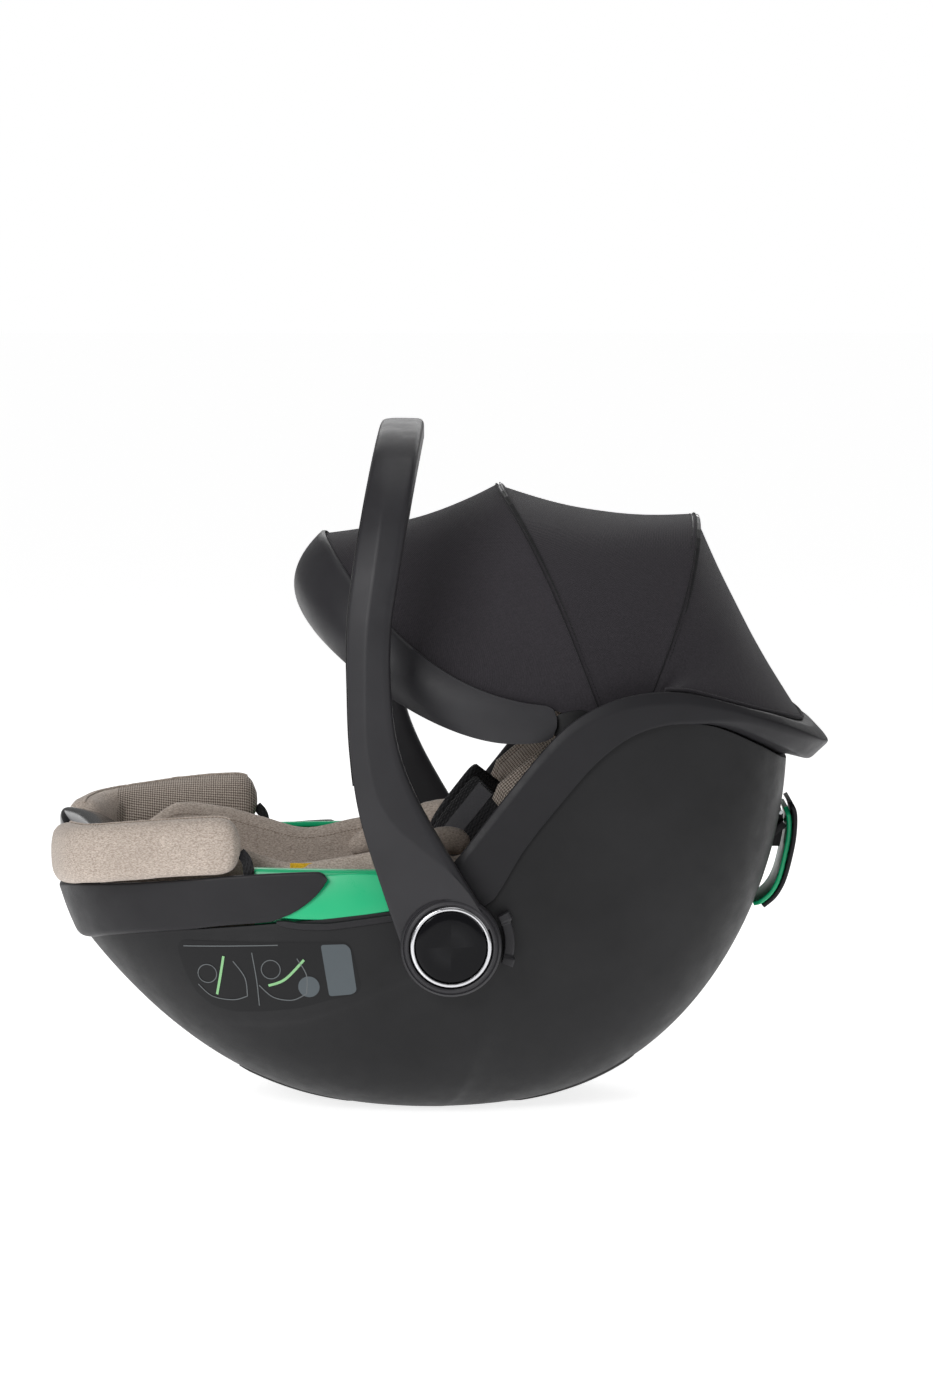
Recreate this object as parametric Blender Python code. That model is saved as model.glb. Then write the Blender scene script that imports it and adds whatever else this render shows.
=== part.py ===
"""Infant car seat with carrying handle, folding canopy, headrest and harness.

Frame: +Z up, +X towards the head end, -X towards the foot end, symmetric about Y = 0.
The flat stretch of the rocker stands on Z = 0 and the hub axis runs along Y.
All sizes below are millimetres; new_mesh() turns them into metres.
"""
import math

import bmesh
import bpy
from mathutils import Matrix, Vector

MM = 0.001
GAP = 0.4
FITTING_GAP = 1.2

# Hull (outer moulded bucket) in plan
HULL_MID_X = 40.0
HULL_FOOT_X = -300.0
HULL_HEAD_X = 304.0
HULL_HALF_WIDTH = 187.0
HULL_WALL = 4.5
BASE_HALF_LENGTH = 60.0
BASE_HALF_WIDTH = 78.0
FOOT_EXPONENT = 2.8
HEAD_EXPONENT = 3.0
AROUND = 44

# Rim bands
FOOT_RIM_X = -326.0
HEAD_RIM_X = 340.0
RIM_PROUD = 3.0
HEAD_RIM_START_X = -20.0

# Hubs and handle
HUB = (15.0, 157.0)
HUB_RADIUS = 42.0
HUB_PLATE_Y = (190.7, 197.4)
HUB_SEAT_Y = (181.0, 191.5)
HANDLE_Y = (198.0, 218.0)
HANDLE_SPLIT_Y = 207.8
BUTTON_RADIUS = 30.0
RING_RADIUS = 34.0
CUP_RADIUS = 35.0
BUTTON_Y = (213.2, 218.6)

# Canopy
PIVOT = (140.0, 300.0)
REAR_RIB = {"radius": 218.2, "angle": 22.9, "half_width": 157.0}
MID_RIB = {"radius": 242.3, "angle": -20.5, "half_width": 162.0}
RIB_BOW = 16.0
VISOR_HALF_WIDTH = 167.0
RIB_EXPONENT = 2.4
RIB_SECTION = (8.0, 3.4)
PIN_RADIUS = 3.0
EYE_RADIUS = 7.5

# Seat cavity
LINER_HEAD_HALF_WIDTH = 152.0
LINER_FOOT_HALF_WIDTH = 162.0
CAVITY_HALF_WIDTH = 145.0
CAVITY_FOOT_X = -292.0
CAVITY_HEAD_X = 262.0
CAVITY_FLOOR_Z = 92.0
COVER_THICKNESS = 14.0
BELT_GUIDE_TOP = 216.0

# Headrest: local axes are s (up the back), n (towards the child) and y
BACK_ANGLE = 40.0
HEADREST_ORIGIN = (101.0, 0.0, 206.0)
HEADREST_LENGTH = 138.0
HEADREST_HALF_WIDTH = 100.0
HEADREST_WING = 88.0

# Buckle
BUCKLE_TILT = 39.0
BUCKLE_CENTRE = (-70.0, 0.0, 141.0)

# Heights of the edges against X (millimetres), joined by smooth curves
SHELL_EDGE = [(-300, 142), (-268, 153), (-225, 160.5), (-140, 170), (-108, 173.5), (-48, 181),
              (-10, 184.5), (30, 186), (47, 189.5), (71, 232.5), (99, 272.5), (126, 307),
              (154, 329.5), (183, 338), (215, 338), (240, 333), (276, 315), (304, 296)]
FOOT_RIM_TOP = [(-326, 190), (-314, 201), (-240, 207), (-197, 212), (-161, 215), (-100, 216),
                (-93, 214.5), (-89, 210)]
FOOT_TIP_BOTTOM = [(-130, 174), (-125, 176), (-116, 180), (-108, 186), (-98, 196), (-89, 206)]
HEAD_RIM_TOP = [(-20, 198), (0, 209), (17, 224), (49, 265), (90, 316), (110, 337), (124, 347),
                (139, 355), (159, 362), (185, 366), (212, 365), (244, 356), (276, 346), (306, 336),
                (340, 318)]
LINER_EDGE = [(-292, 160), (-200, 165), (-100, 172), (-40, 178), (0, 196), (40, 236), (70, 280),
              (95, 308), (150, 322), (200, 322), (262, 292)]
COVER_EDGE = [(-292, 200), (-250, 222), (-200, 228), (-156, 226), (-120, 216), (-70, 223), (-25, 237),
              (20, 258), (60, 292), (95, 316), (150, 330), (200, 330), (262, 302)]


# ---------------------------------------------------------------- mesh helpers

def clear_scene():
    for item in list(bpy.data.objects):
        bpy.data.objects.remove(item, do_unlink=True)


def material(name, colour, roughness, metallic=0.0):
    found = bpy.data.materials.get(name)
    if found:
        return found
    made = bpy.data.materials.new(name)
    made.use_nodes = True
    shader = made.node_tree.nodes["Principled BSDF"]
    shader.inputs["Base Color"].default_value = (*colour, 1.0)
    shader.inputs["Roughness"].default_value = roughness
    shader.inputs["Metallic"].default_value = metallic
    return made


SHELL_PLASTIC = ("shell_plastic", (0.035, 0.035, 0.038), 0.5)
HANDLE_PLASTIC = ("handle_plastic", (0.04, 0.04, 0.042), 0.45)
GREEN_PLASTIC = ("green_plastic", (0.0, 0.52, 0.24), 0.35)
GLOSS_BLACK = ("gloss_black", (0.01, 0.01, 0.01), 0.12)
CHROME = ("chrome", (0.75, 0.75, 0.76), 0.12, 1.0)
STEEL = ("steel", (0.55, 0.56, 0.58), 0.3, 1.0)
FOAM = ("foam", (0.75, 0.70, 0.55), 0.9)
BEIGE_FABRIC = ("beige_fabric", (0.43, 0.36, 0.29), 0.9)
KNIT_FABRIC = ("knit_fabric", (0.48, 0.41, 0.34), 0.95)
CANOPY_FABRIC = ("canopy_fabric", (0.035, 0.032, 0.038), 0.85)
WEBBING = ("webbing", (0.03, 0.03, 0.032), 0.8)
RED_PLASTIC = ("red_plastic", (0.55, 0.02, 0.02), 0.35)


def new_mesh(name, points, faces, finish, smooth_angle=35.0):
    """Make an object from points in millimetres, with its faces pointing out."""
    mesh = bpy.data.meshes.new(name)
    mesh.from_pydata([tuple(c * MM for c in p) for p in points], [], faces)
    work = bmesh.new()
    work.from_mesh(mesh)
    bmesh.ops.recalc_face_normals(work, faces=work.faces)
    work.to_mesh(mesh)
    work.free()
    mesh.shade_smooth()
    mesh.set_sharp_from_angle(angle=math.radians(smooth_angle))
    made = bpy.data.objects.new(name, mesh)
    made.data.materials.append(material(*finish))
    bpy.context.collection.objects.link(made)
    return made


def loft(name, rings, finish, wrap=False, smooth_angle=35.0):
    """Skin a list of closed rings; the ends are capped unless the rings wrap round."""
    count = len(rings[0])
    points = [p for ring in rings for p in ring]
    faces = []
    spans = len(rings) if wrap else len(rings) - 1
    for i in range(spans):
        low = i * count
        high = ((i + 1) % len(rings)) * count
        for j in range(count):
            k = (j + 1) % count
            faces.append((low + j, low + k, high + k, high + j))
    if not wrap:
        faces.append(tuple(range(count)))
        faces.append(tuple((len(rings) - 1) * count + j for j in range(count)))
    return new_mesh(name, points, faces, finish, smooth_angle)


def sheet(name, rows, finish, thickness, smooth_angle=60.0):
    """A grid of points made into a closed plate of the given thickness (mm)."""
    wide = len(rows[0])
    points = [p for row in rows for p in row]
    faces = []
    for i in range(len(rows) - 1):
        for j in range(wide - 1):
            a = i * wide + j
            faces.append((a, a + 1, a + wide + 1, a + wide))
    made = new_mesh(name, points, faces, finish, smooth_angle)
    solid = made.modifiers.new("thickness", "SOLIDIFY")
    solid.thickness = thickness * MM
    solid.offset = 0.0
    solid.use_even_offset = True
    return made


def disc(name, x, z, radius, y_low, y_high, finish, sides=32, chamfer=0.0):
    """A round plate with its axis along Y."""
    steps = [(y_low, radius), (y_high, radius)]
    if chamfer:
        steps = [(y_low, radius - chamfer), (y_low + chamfer, radius),
                 (y_high - chamfer, radius), (y_high, radius - chamfer)]
    rings = []
    for y, r in steps:
        rings.append([(x + r * math.cos(a), y, z + r * math.sin(a)) for a in circle(sides)])
    return loft(name, rings, finish)


def ring(name, x, z, inner, outer, y_low, y_high, finish, sides=32):
    """A flat ring with its axis along Y."""
    section = [(inner, y_low), (outer, y_low), (outer, y_high), (inner, y_high)]
    rings = []
    for a in circle(sides):
        rings.append([(x + r * math.cos(a), y, z + r * math.sin(a)) for r, y in section])
    return loft(name, rings, finish, wrap=True)


def circle(sides):
    return [2 * math.pi * i / sides for i in range(sides)]


def rounded_outline(half_a, half_b, corner, steps=4):
    """A rounded rectangle as (a, b) pairs."""
    outline = []
    for quarter in range(4):
        sign_a = (1, -1, -1, 1)[quarter]
        sign_b = (1, 1, -1, -1)[quarter]
        for i in range(steps + 1):
            angle = math.pi / 2 * (quarter + i / steps)
            outline.append((sign_a * (half_a - corner) + corner * math.cos(angle),
                            sign_b * (half_b - corner) + corner * math.sin(angle)))
    return outline


def slab(name, origin, axis_a, axis_b, half_a, half_b, thickness, corner, finish):
    """A rounded plate; its thickness runs along axis_a x axis_b from the origin."""
    normal = Vector(axis_a).cross(Vector(axis_b)).normalized()
    edge = min(1.0, thickness * 0.25)
    rings = []
    for depth, inset in ((0, edge), (edge, 0), (thickness - edge, 0), (thickness, edge)):
        centre = Vector(origin) + normal * depth
        outline = rounded_outline(half_a - inset, half_b - inset, max(corner - inset, 0.3), 2)
        rings.append([tuple(centre + Vector(axis_a) * a + Vector(axis_b) * b) for a, b in outline])
    return loft(name, rings, finish)


def sweep(name, path, side, sections, finish, smooth_angle=35.0):
    """Sweep sections (width along side, depth across it) along a path of points."""
    rings = []
    for i, point in enumerate(path):
        ahead = Vector(path[min(i + 1, len(path) - 1)])
        behind = Vector(path[max(i - 1, 0)])
        tangent = (ahead - behind).normalized()
        across = (Vector(side) - tangent * tangent.dot(Vector(side))).normalized()
        deep = tangent.cross(across)
        rings.append([tuple(Vector(point) + across * a + deep * b) for a, b in sections[i]])
    return loft(name, rings, finish, smooth_angle=smooth_angle)


def smooth_height(table, x):
    """Height at x on a smooth curve through a table of (x, height) pairs."""
    if x <= table[0][0]:
        return table[0][1]
    if x >= table[-1][0]:
        return table[-1][1]
    slopes = []
    for i in range(len(table)):
        low = table[max(i - 1, 0)]
        high = table[min(i + 1, len(table) - 1)]
        slopes.append((high[1] - low[1]) / (high[0] - low[0]))
    for i in range(len(table) - 1):
        x0, z0 = table[i]
        x1, z1 = table[i + 1]
        if x <= x1:
            span = x1 - x0
            t = (x - x0) / span
            chord = (z1 - z0) / span
            m0 = limited(slopes[i], chord) * span
            m1 = limited(slopes[i + 1], chord) * span
            return ((2 * t ** 3 - 3 * t ** 2 + 1) * z0 + (t ** 3 - 2 * t ** 2 + t) * m0
                    + (-2 * t ** 3 + 3 * t ** 2) * z1 + (t ** 3 - t ** 2) * m1)
    return table[-1][1]


def limited(slope, chord):
    """Keep a curve's slope from overshooting between two points."""
    if chord == 0 or slope * chord <= 0:
        return 0.0
    return slope if abs(slope) < 3 * abs(chord) else 3 * chord


def through(points, count):
    """Points along a smooth (Catmull-Rom) curve through the given points."""
    last = len(points) - 1
    made = []
    for i in range(count):
        u = last * i / (count - 1)
        k = min(int(u), last - 1)
        t = u - k
        p0 = Vector(points[max(k - 1, 0)])
        p1 = Vector(points[k])
        p2 = Vector(points[k + 1])
        p3 = Vector(points[min(k + 2, last)])
        made.append(0.5 * (2 * p1 + (p2 - p0) * t + (2 * p0 - 5 * p1 + 4 * p2 - p3) * t * t
                           + (3 * p1 - p0 - 3 * p2 + p3) * t ** 3))
    return made


def add_boolean(target, cutter, operation="DIFFERENCE"):
    cut = target.modifiers.new(operation.lower(), "BOOLEAN")
    cut.operation = operation
    cut.object = cutter
    cut.solver = "EXACT"
    cutter.hide_render = True
    cutter.display_type = "WIRE"


def ride_on_axis(objects, name, point):
    """Parent the objects to an empty that sits on their joint's axis."""
    empty = bpy.data.objects.new(name, None)
    empty.location = [c * MM for c in point]
    bpy.context.collection.objects.link(empty)
    for item in objects:
        item.parent = empty
        item.matrix_parent_inverse = Matrix.Translation(empty.location).inverted()


# ---------------------------------------------------------------- hull surface

def plan_point(angle, foot_x, head_x, half_width):
    """A point of the bucket's outline seen from above, from its angle."""
    c = math.cos(angle)
    s = math.sin(angle)
    length = head_x - HULL_MID_X if c > 0 else HULL_MID_X - foot_x
    power = 2 / (HEAD_EXPONENT if c > 0 else FOOT_EXPONENT)
    x = HULL_MID_X + math.copysign(length * abs(c) ** power, c)
    y = math.copysign(half_width * abs(s) ** power, s)
    return x, y


def bezier(p0, p1, p2, p3, t):
    u = 1 - t
    return tuple(u ** 3 * a + 3 * u * u * t * b + 3 * u * t * t * c + t ** 3 * d
                 for a, b, c, d in zip(p0, p1, p2, p3))


def hull_point(angle, t, inset):
    """Outer surface of the bucket, from its top edge (t = 0) to the flat base (t = 1)."""
    x0, y0 = plan_point(angle, HULL_FOOT_X + inset, HULL_HEAD_X - inset, HULL_HALF_WIDTH - inset)
    z0 = smooth_height(SHELL_EDGE, x0)
    c = math.cos(angle)
    weight = abs(c) ** 1.5
    base_x = BASE_HALF_LENGTH * c
    base_y = BASE_HALF_WIDTH * math.sin(angle)
    if c > 0:
        first = (x0 * (1 + (0.977 - 1) * weight), z0 * 0.505)
        second_x = base_x + (x0 - base_x) * 0.58
    else:
        first = (x0 * (1 + (0.862 - 1) * weight), z0 * (0.51 + 0.13 * weight))
        second_x = base_x + (x0 - base_x) * (0.58 - 0.11 * weight)
    second_y = base_y + (y0 - base_y) * 0.66
    return bezier((x0, y0, z0), (first[0], y0 * 1.005, first[1]),
                  (second_x, second_y, inset), (base_x, base_y, inset), t)


LEVELS = (0.0, 0.12, 0.26, 0.4, 0.54, 0.69, 0.85, 1.0)
CAVITY_LEVELS = (0.0, 0.2, 0.4, 0.6, 0.8, 1.0)


def even_angles():
    """Angles that share the bucket's outline into equal lengths, starting at the head end."""
    fine = 720
    lengths = [0.0]
    for i in range(fine):
        a = plan_point(2 * math.pi * i / fine, HULL_FOOT_X, HULL_HEAD_X, HULL_HALF_WIDTH)
        b = plan_point(2 * math.pi * (i + 1) / fine, HULL_FOOT_X, HULL_HEAD_X, HULL_HALF_WIDTH)
        lengths.append(lengths[-1] + math.dist(a, b))
    angles = []
    k = 0
    for j in range(AROUND // 2 + 1):
        goal = lengths[-1] * j / AROUND
        while lengths[k + 1] < goal:
            k += 1
        share = (goal - lengths[k]) / (lengths[k + 1] - lengths[k])
        angles.append(2 * math.pi * (k + share) / fine)
    angles[-1] = math.pi
    return angles + [2 * math.pi - a for a in angles[-2:0:-1]]


def hull_rings(inset):
    return [[hull_point(a, t, inset) for a in even_angles()] for t in LEVELS]


def hull_cutter():
    """The bucket's filled outer form, a hair larger, for fitting pieces against it."""
    rings = hull_rings(-FITTING_GAP)
    above = [(x, y, HANDLE_ROUTE[-1][2]) for x, y, z in rings[0]]
    return loft("hull_cutter", [above] + rings, SHELL_PLASTIC)


def shell():
    outer = hull_rings(0.0)[::-1]
    inner = hull_rings(HULL_WALL)
    return loft("shell", outer + inner, SHELL_PLASTIC)


# ---------------------------------------------------------------- rim bands

def angle_at(x, foot_x, head_x):
    """The plan angle (0 to pi) where the outline reaches x."""
    if x > HULL_MID_X:
        share = (x - HULL_MID_X) / (head_x - HULL_MID_X)
        return math.acos(min(1.0, share) ** (HEAD_EXPONENT / 2))
    share = (HULL_MID_X - x) / (HULL_MID_X - foot_x)
    return math.pi - math.acos(min(1.0, share) ** (FOOT_EXPONENT / 2))


def shell_edge_point(angle, inset):
    """A point just above the bucket's top edge; a negative inset stands proud of the wall."""
    x, y = plan_point(angle, HULL_FOOT_X + inset, HULL_HEAD_X - inset, HULL_HALF_WIDTH - inset)
    edge_x = plan_point(angle, HULL_FOOT_X, HULL_HEAD_X, HULL_HALF_WIDTH)[0]
    wall_x = plan_point(angle, HULL_FOOT_X + HULL_WALL, HULL_HEAD_X - HULL_WALL,
                        HULL_HALF_WIDTH - HULL_WALL)[0]
    height = max(smooth_height(SHELL_EDGE, edge_x), smooth_height(SHELL_EDGE, wall_x))
    return x, y, height + 2 * GAP


def foot_rim():
    """Band that widens upwards round the foot end and ends in two rounded tips."""
    tips = [angle_at(x, FOOT_RIM_X, HULL_HEAD_X) for x in (-89.0, -91.0, -96.0, -104.0, -114.0, -126.0)]
    angles = tips + [a for a in even_angles() if tips[-1] + 0.04 < a < 2 * math.pi - tips[-1] - 0.04]
    angles += [2 * math.pi - a for a in reversed(tips)]
    rings = []
    for angle in angles:
        top_x, top_y = plan_point(angle, FOOT_RIM_X, HULL_HEAD_X, HULL_HALF_WIDTH + RIM_PROUD)
        in_x, in_y = plan_point(angle, FOOT_RIM_X + 9, HULL_HEAD_X, HULL_HALF_WIDTH - 5.5)
        low_x, low_y, edge = shell_edge_point(angle, -RIM_PROUD * 0.6)
        deep_x, deep_y, edge = shell_edge_point(angle, HULL_WALL + 1.0)
        high = smooth_height(FOOT_RIM_TOP, top_x)
        low = max(edge, smooth_height(FOOT_TIP_BOTTOM, top_x) if top_x > -130 else edge)
        round_off = min(4.0, (high - low) * 0.3)
        rings.append([(low_x, low_y, low),
                      (0.4 * low_x + 0.6 * top_x, 0.4 * low_y + 0.6 * top_y, low + (high - low) * 0.5),
                      (top_x, top_y, high - round_off),
                      (0.6 * top_x + 0.4 * in_x, 0.6 * top_y + 0.4 * in_y, high),
                      (in_x, in_y, high - 0.5), (deep_x, deep_y, low)])
    return loft("foot_rim", rings, SHELL_PLASTIC)


def head_rim():
    """Band from hub to hub round the head end, with a thick overhanging rear lip."""
    start = angle_at(HEAD_RIM_START_X, HULL_FOOT_X, HULL_HEAD_X)
    half = [start] + [a for a in reversed(even_angles()[:AROUND // 2]) if a < start - 0.03]
    angles = [-a for a in half[:-1]] + half[::-1]
    rings = []
    for angle in angles:
        out_x, out_y = plan_point(angle, HULL_FOOT_X, HEAD_RIM_X, HULL_HALF_WIDTH + RIM_PROUD)
        low_x, low_y, low = shell_edge_point(angle, -RIM_PROUD * 0.5)
        in_x, in_y, low = shell_edge_point(angle, HULL_WALL + 1.0)
        high = smooth_height(HEAD_RIM_TOP, out_x)
        inner_high = smooth_height(HEAD_RIM_TOP, in_x)
        flare = max(0.0, math.cos(angle)) ** 3
        rings.append([(low_x, low_y, low),
                      (0.45 * low_x + 0.55 * out_x, 0.45 * low_y + 0.55 * out_y, low - flare * 5.0),
                      (out_x, out_y, low + flare * 10.0), (out_x, out_y, high - 3.0),
                      (0.7 * out_x + 0.3 * in_x, 0.7 * out_y + 0.3 * in_y, 0.6 * high + 0.4 * inner_high),
                      (in_x, in_y, inner_high - 1.0), (in_x, in_y, low)])
    return loft("head_rim", rings, SHELL_PLASTIC)


# ---------------------------------------------------------------- soft seat

def cavity_point(angle, t, inset, half_width):
    """Inside of the seat, from the liner's edge (t = 0) to the seat floor (t = 1)."""
    x0, y0 = plan_point(angle, CAVITY_FOOT_X + inset, CAVITY_HEAD_X - inset, half_width - inset)
    z0 = smooth_height(LINER_EDGE, x0)
    floor = CAVITY_FLOOR_Z + inset
    base = (-55.0 + 50.0 * math.cos(angle), (104.0 - inset) * math.sin(angle), floor)
    first = (x0 + (base[0] - x0) * 0.28, y0 + (base[1] - y0) * 0.05, z0 + (floor - z0) * 0.4)
    second = (x0 + (base[0] - x0) * 0.65, y0 + (base[1] - y0) * 0.3, z0 + (floor - z0) * 0.84)
    return bezier((x0, y0, z0), first, second, base, t)


def foam_liner():
    """Energy-absorbing foam between the bucket and the seat cover."""
    outer = []
    for t in LEVELS:
        row = []
        for a in even_angles():
            x, y, z = hull_point(a, t, HULL_WALL + 9.0)
            share = min(1.0, max(0.0, (x + 20.0) / 90.0))
            share = share * share * (3 - 2 * share)
            half = LINER_FOOT_HALF_WIDTH + (LINER_HEAD_HALF_WIDTH - LINER_FOOT_HALF_WIDTH) * share
            y *= half / (HULL_HALF_WIDTH - HULL_WALL - 9.0)
            x = min(x, 276.0)
            row.append((x, y, min(z, smooth_height(LINER_EDGE, x))))
        outer.append(row)
    inner = [[cavity_point(a, t, 0.0, CAVITY_HALF_WIDTH) for a in even_angles()] for t in CAVITY_LEVELS]
    return loft("foam_liner", outer[::-1] + inner, FOAM)


def seat_cover():
    """Padded fabric cover that lines the cavity and rolls up over its edge."""
    under = [[cavity_point(a, t, 2.0, CAVITY_HALF_WIDTH) for a in even_angles()] for t in CAVITY_LEVELS]
    over = [[cavity_point(a, t, 2.0 + COVER_THICKNESS, CAVITY_HALF_WIDTH) for a in even_angles()]
            for t in CAVITY_LEVELS]
    roll = []
    for inset, lower in ((2.0, 4.0), (6.0, 0.0), (12.0, 0.0), (16.0, 4.0)):
        row = []
        for a in even_angles():
            x, y, z = cavity_point(a, 0.0, inset, CAVITY_HALF_WIDTH)
            row.append((x, y, smooth_height(COVER_EDGE, x) - lower))
        roll.append(row)
    return loft("seat_cover", under[::-1] + roll + over, BEIGE_FABRIC)


def foot_wing(name, side):
    """Padded fabric wing on the foot rim, one on each side of the foot end."""
    route = [(-309, 66, 219), (-305, 105, 226), (-288, 137, 231), (-256, 152, 233), (-215, 163, 236),
             (-178, 167, 234)]
    path = through([(x, side * y, z) for x, y, z in route], 13)
    sections = []
    for i in range(13):
        u = i / 12
        swell = math.sin(math.pi * min(1.0, 0.14 + 0.75 * u)) ** 0.5
        half_thick = 9.0 + 9.0 * swell
        half_tall = 8.0 + 14.0 * swell
        sections.append([(half_tall * math.cos(a), half_thick * math.sin(a)) for a in circle(12)])
    return sweep(name, path, (0, 0, 1), sections, BEIGE_FABRIC)


# ---------------------------------------------------------------- headrest

def headrest_frame():
    up = Vector((math.cos(math.radians(BACK_ANGLE)), 0, math.sin(math.radians(BACK_ANGLE))))
    out = Vector((-up.z, 0, up.x))
    return Vector(HEADREST_ORIGIN), up, out


def headrest_profile(half_width, depth, wing, thick):
    """C-shaped profile as (y, n) pairs: back plate with a wing on each side."""
    outer = [(-half_width, wing), (-half_width, depth + 22), (-half_width + 22, depth)]
    outer += [(half_width - 22, depth), (half_width, depth + 22), (half_width, wing)]
    inner = [(half_width - thick, wing), (half_width - thick, depth + 24 + thick * 0.6),
             (half_width - 24 - thick * 0.6, depth + thick)]
    inner += [(-half_width + 24 + thick * 0.6, depth + thick),
              (-half_width + thick, depth + 24 + thick * 0.6), (-half_width + thick, wing)]
    return outer + inner


def headrest_piece(name, half_width, depth, wing, thick, span, finish):
    origin, up, out = headrest_frame()
    rings = []
    for s, lower in ((span[0], 8.0), (span[0] + 8, 0.0), (span[1] - 25, 0.0), (span[1], 22.0)):
        row = []
        for y, n in headrest_profile(half_width, depth, wing, thick):
            height = n - lower if n > depth + 40 else n
            row.append(tuple(origin + up * s + out * height + Vector((0, y, 0))))
        rings.append(row)
    return loft(name, rings, finish)


def headrest_handle():
    """Pull handle at the top of the headrest."""
    origin, up, out = headrest_frame()
    centre = origin + up * (HEADREST_LENGTH + 9) + out * 8
    return slab("headrest_handle", centre, up, (0, 1, 0), 8.0, 30.0, 8.0, 6.0, HANDLE_PLASTIC)


# ---------------------------------------------------------------- handle

HANDLE_ROUTE = [(15, 208, 157), (-8, 208, 205), (-36, 207.5, 270), (-48.5, 206.5, 320), (-52.5, 205, 370),
                (-52.5, 202, 420), (-46.5, 194, 468), (-39.5, 177, 512), (-34, 150, 543), (-30.5, 112, 562),
                (-28.5, 60, 572.5), (-28, 0, 575)]
HANDLE_WIDTH = [78, 66, 51, 40, 36, 36.5, 38, 38, 38, 38, 38, 38]
HANDLE_DEPTH = [19.5, 20.5, 22, 23, 23, 23, 23, 23, 23, 23, 23, 23]
HANDLE_STEPS = 40


def handle_half(name, outside):
    """One moulded half of the handle; outside is True for the outer half."""
    route = HANDLE_ROUTE + [(x, -y, z) for x, y, z in HANDLE_ROUTE[-2::-1]]
    widths = HANDLE_WIDTH + HANDLE_WIDTH[-2::-1]
    depths = HANDLE_DEPTH + HANDLE_DEPTH[-2::-1]
    path = through(route, HANDLE_STEPS + 1)
    sizes = through([(w, d, 0) for w, d in zip(widths, depths)], HANDLE_STEPS + 1)
    half_gap = GAP / 2
    sections = []
    for size in sizes:
        half_wide = size[0] / 2
        half_deep = size[1] / 2
        sections.append(half_oval(half_wide, half_deep, half_gap, outside))
    half = sweep(name, path, (1, 0, 0), sections, HANDLE_PLASTIC, 40.0)
    for side in (1, -1):
        span = (HANDLE_SPLIT_Y + GAP / 2, HANDLE_Y[1]) if outside else (HANDLE_Y[0], HANDLE_SPLIT_Y - GAP / 2)
        low, high = sorted((side * span[0], side * span[1]))
        boss = disc(f"{name}_boss_{side}", *HUB, HUB_RADIUS, low, high, HANDLE_PLASTIC, chamfer=1.5)
        add_boolean(half, boss, "UNION")
    return half


def half_oval(half_wide, half_deep, half_gap, outside):
    """Half of a squared oval: the flat side lies on the handle's parting plane."""
    sign = 1 if outside else -1
    outline = []
    for i in range(7):
        angle = math.pi * i / 6
        a = half_wide * math.copysign(abs(math.cos(angle)) ** 0.6, math.cos(angle))
        b = half_deep * abs(math.sin(angle)) ** 0.6
        outline.append((a, sign * max(b, half_gap)))
    return outline


def handle():
    outer = handle_half("handle_outer_shell", True)
    inner = handle_half("handle_inner_shell", False)
    for side in (1, -1):
        low, high = sorted((side * (HANDLE_SPLIT_Y - 1.0), side * (HANDLE_Y[1] + 1)))
        cup = disc(f"hub_cup_{side}", *HUB, CUP_RADIUS, low, high, HANDLE_PLASTIC)
        add_boolean(outer, cup)
        low, high = sorted((side * 190.0, side * (HANDLE_Y[1] + 1)))
        bore = disc(f"hub_bore_{side}", *HUB, 8.3, low, high, HANDLE_PLASTIC, sides=24)
        add_boolean(inner, bore)
    return [outer, inner]


def hub_parts(label, side, cutter):
    """Lock plate on the shell, bolt, spring, push button and its bright ring."""
    def span(low, high):
        return sorted((side * low, side * high))

    plate = disc(f"hub_plate_{label}", *HUB, 40.0, *span(*HUB_PLATE_Y), SHELL_PLASTIC, chamfer=1.0)
    seat = disc(f"plate_seat_{label}", *HUB, 24.0, *span(*HUB_SEAT_Y), SHELL_PLASTIC)
    add_boolean(plate, seat, "UNION")
    add_boolean(plate, cutter)
    bore = disc(f"plate_bore_{label}", *HUB, 8.3, *span(150, 199), SHELL_PLASTIC, sides=24)
    add_boolean(plate, bore)
    low, high = span(187.9, 206.5)
    bolt = disc(f"hub_bolt_{label}", *HUB, 5.0, low, high, STEEL, sides=24)
    spring = coil(f"hub_spring_{label}", side)
    face = disc(f"handle_button_{label}", *HUB, BUTTON_RADIUS, *span(*BUTTON_Y), GLOSS_BLACK, chamfer=1.0)
    trim = ring(f"handle_button_ring_{label}", *HUB, BUTTON_RADIUS + GAP, RING_RADIUS,
                *span(BUTTON_Y[0], BUTTON_Y[1] + 0.4), CHROME)
    ride_on_axis([face, trim], f"button_axis_{label}", (HUB[0], side * BUTTON_Y[0], HUB[1]))
    return plate, bolt, spring


def coil(name, side):
    """Compression spring round the hub bolt, between lock plate and push button."""
    turns, per_turn, radius, wire = 4, 10, 6.7, 0.7
    low, high = 192.0, 211.8
    path = []
    for i in range(turns * per_turn + 1):
        angle = 2 * math.pi * i / per_turn
        y = low + (high - low) * i / (turns * per_turn)
        path.append((HUB[0] + radius * math.cos(angle), side * y, HUB[1] + radius * math.sin(angle)))
    sections = [[(wire * math.cos(a), wire * math.sin(a)) for a in circle(5)]] * len(path)
    return sweep(name, path, (0, 1, 0), sections, STEEL)


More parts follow.
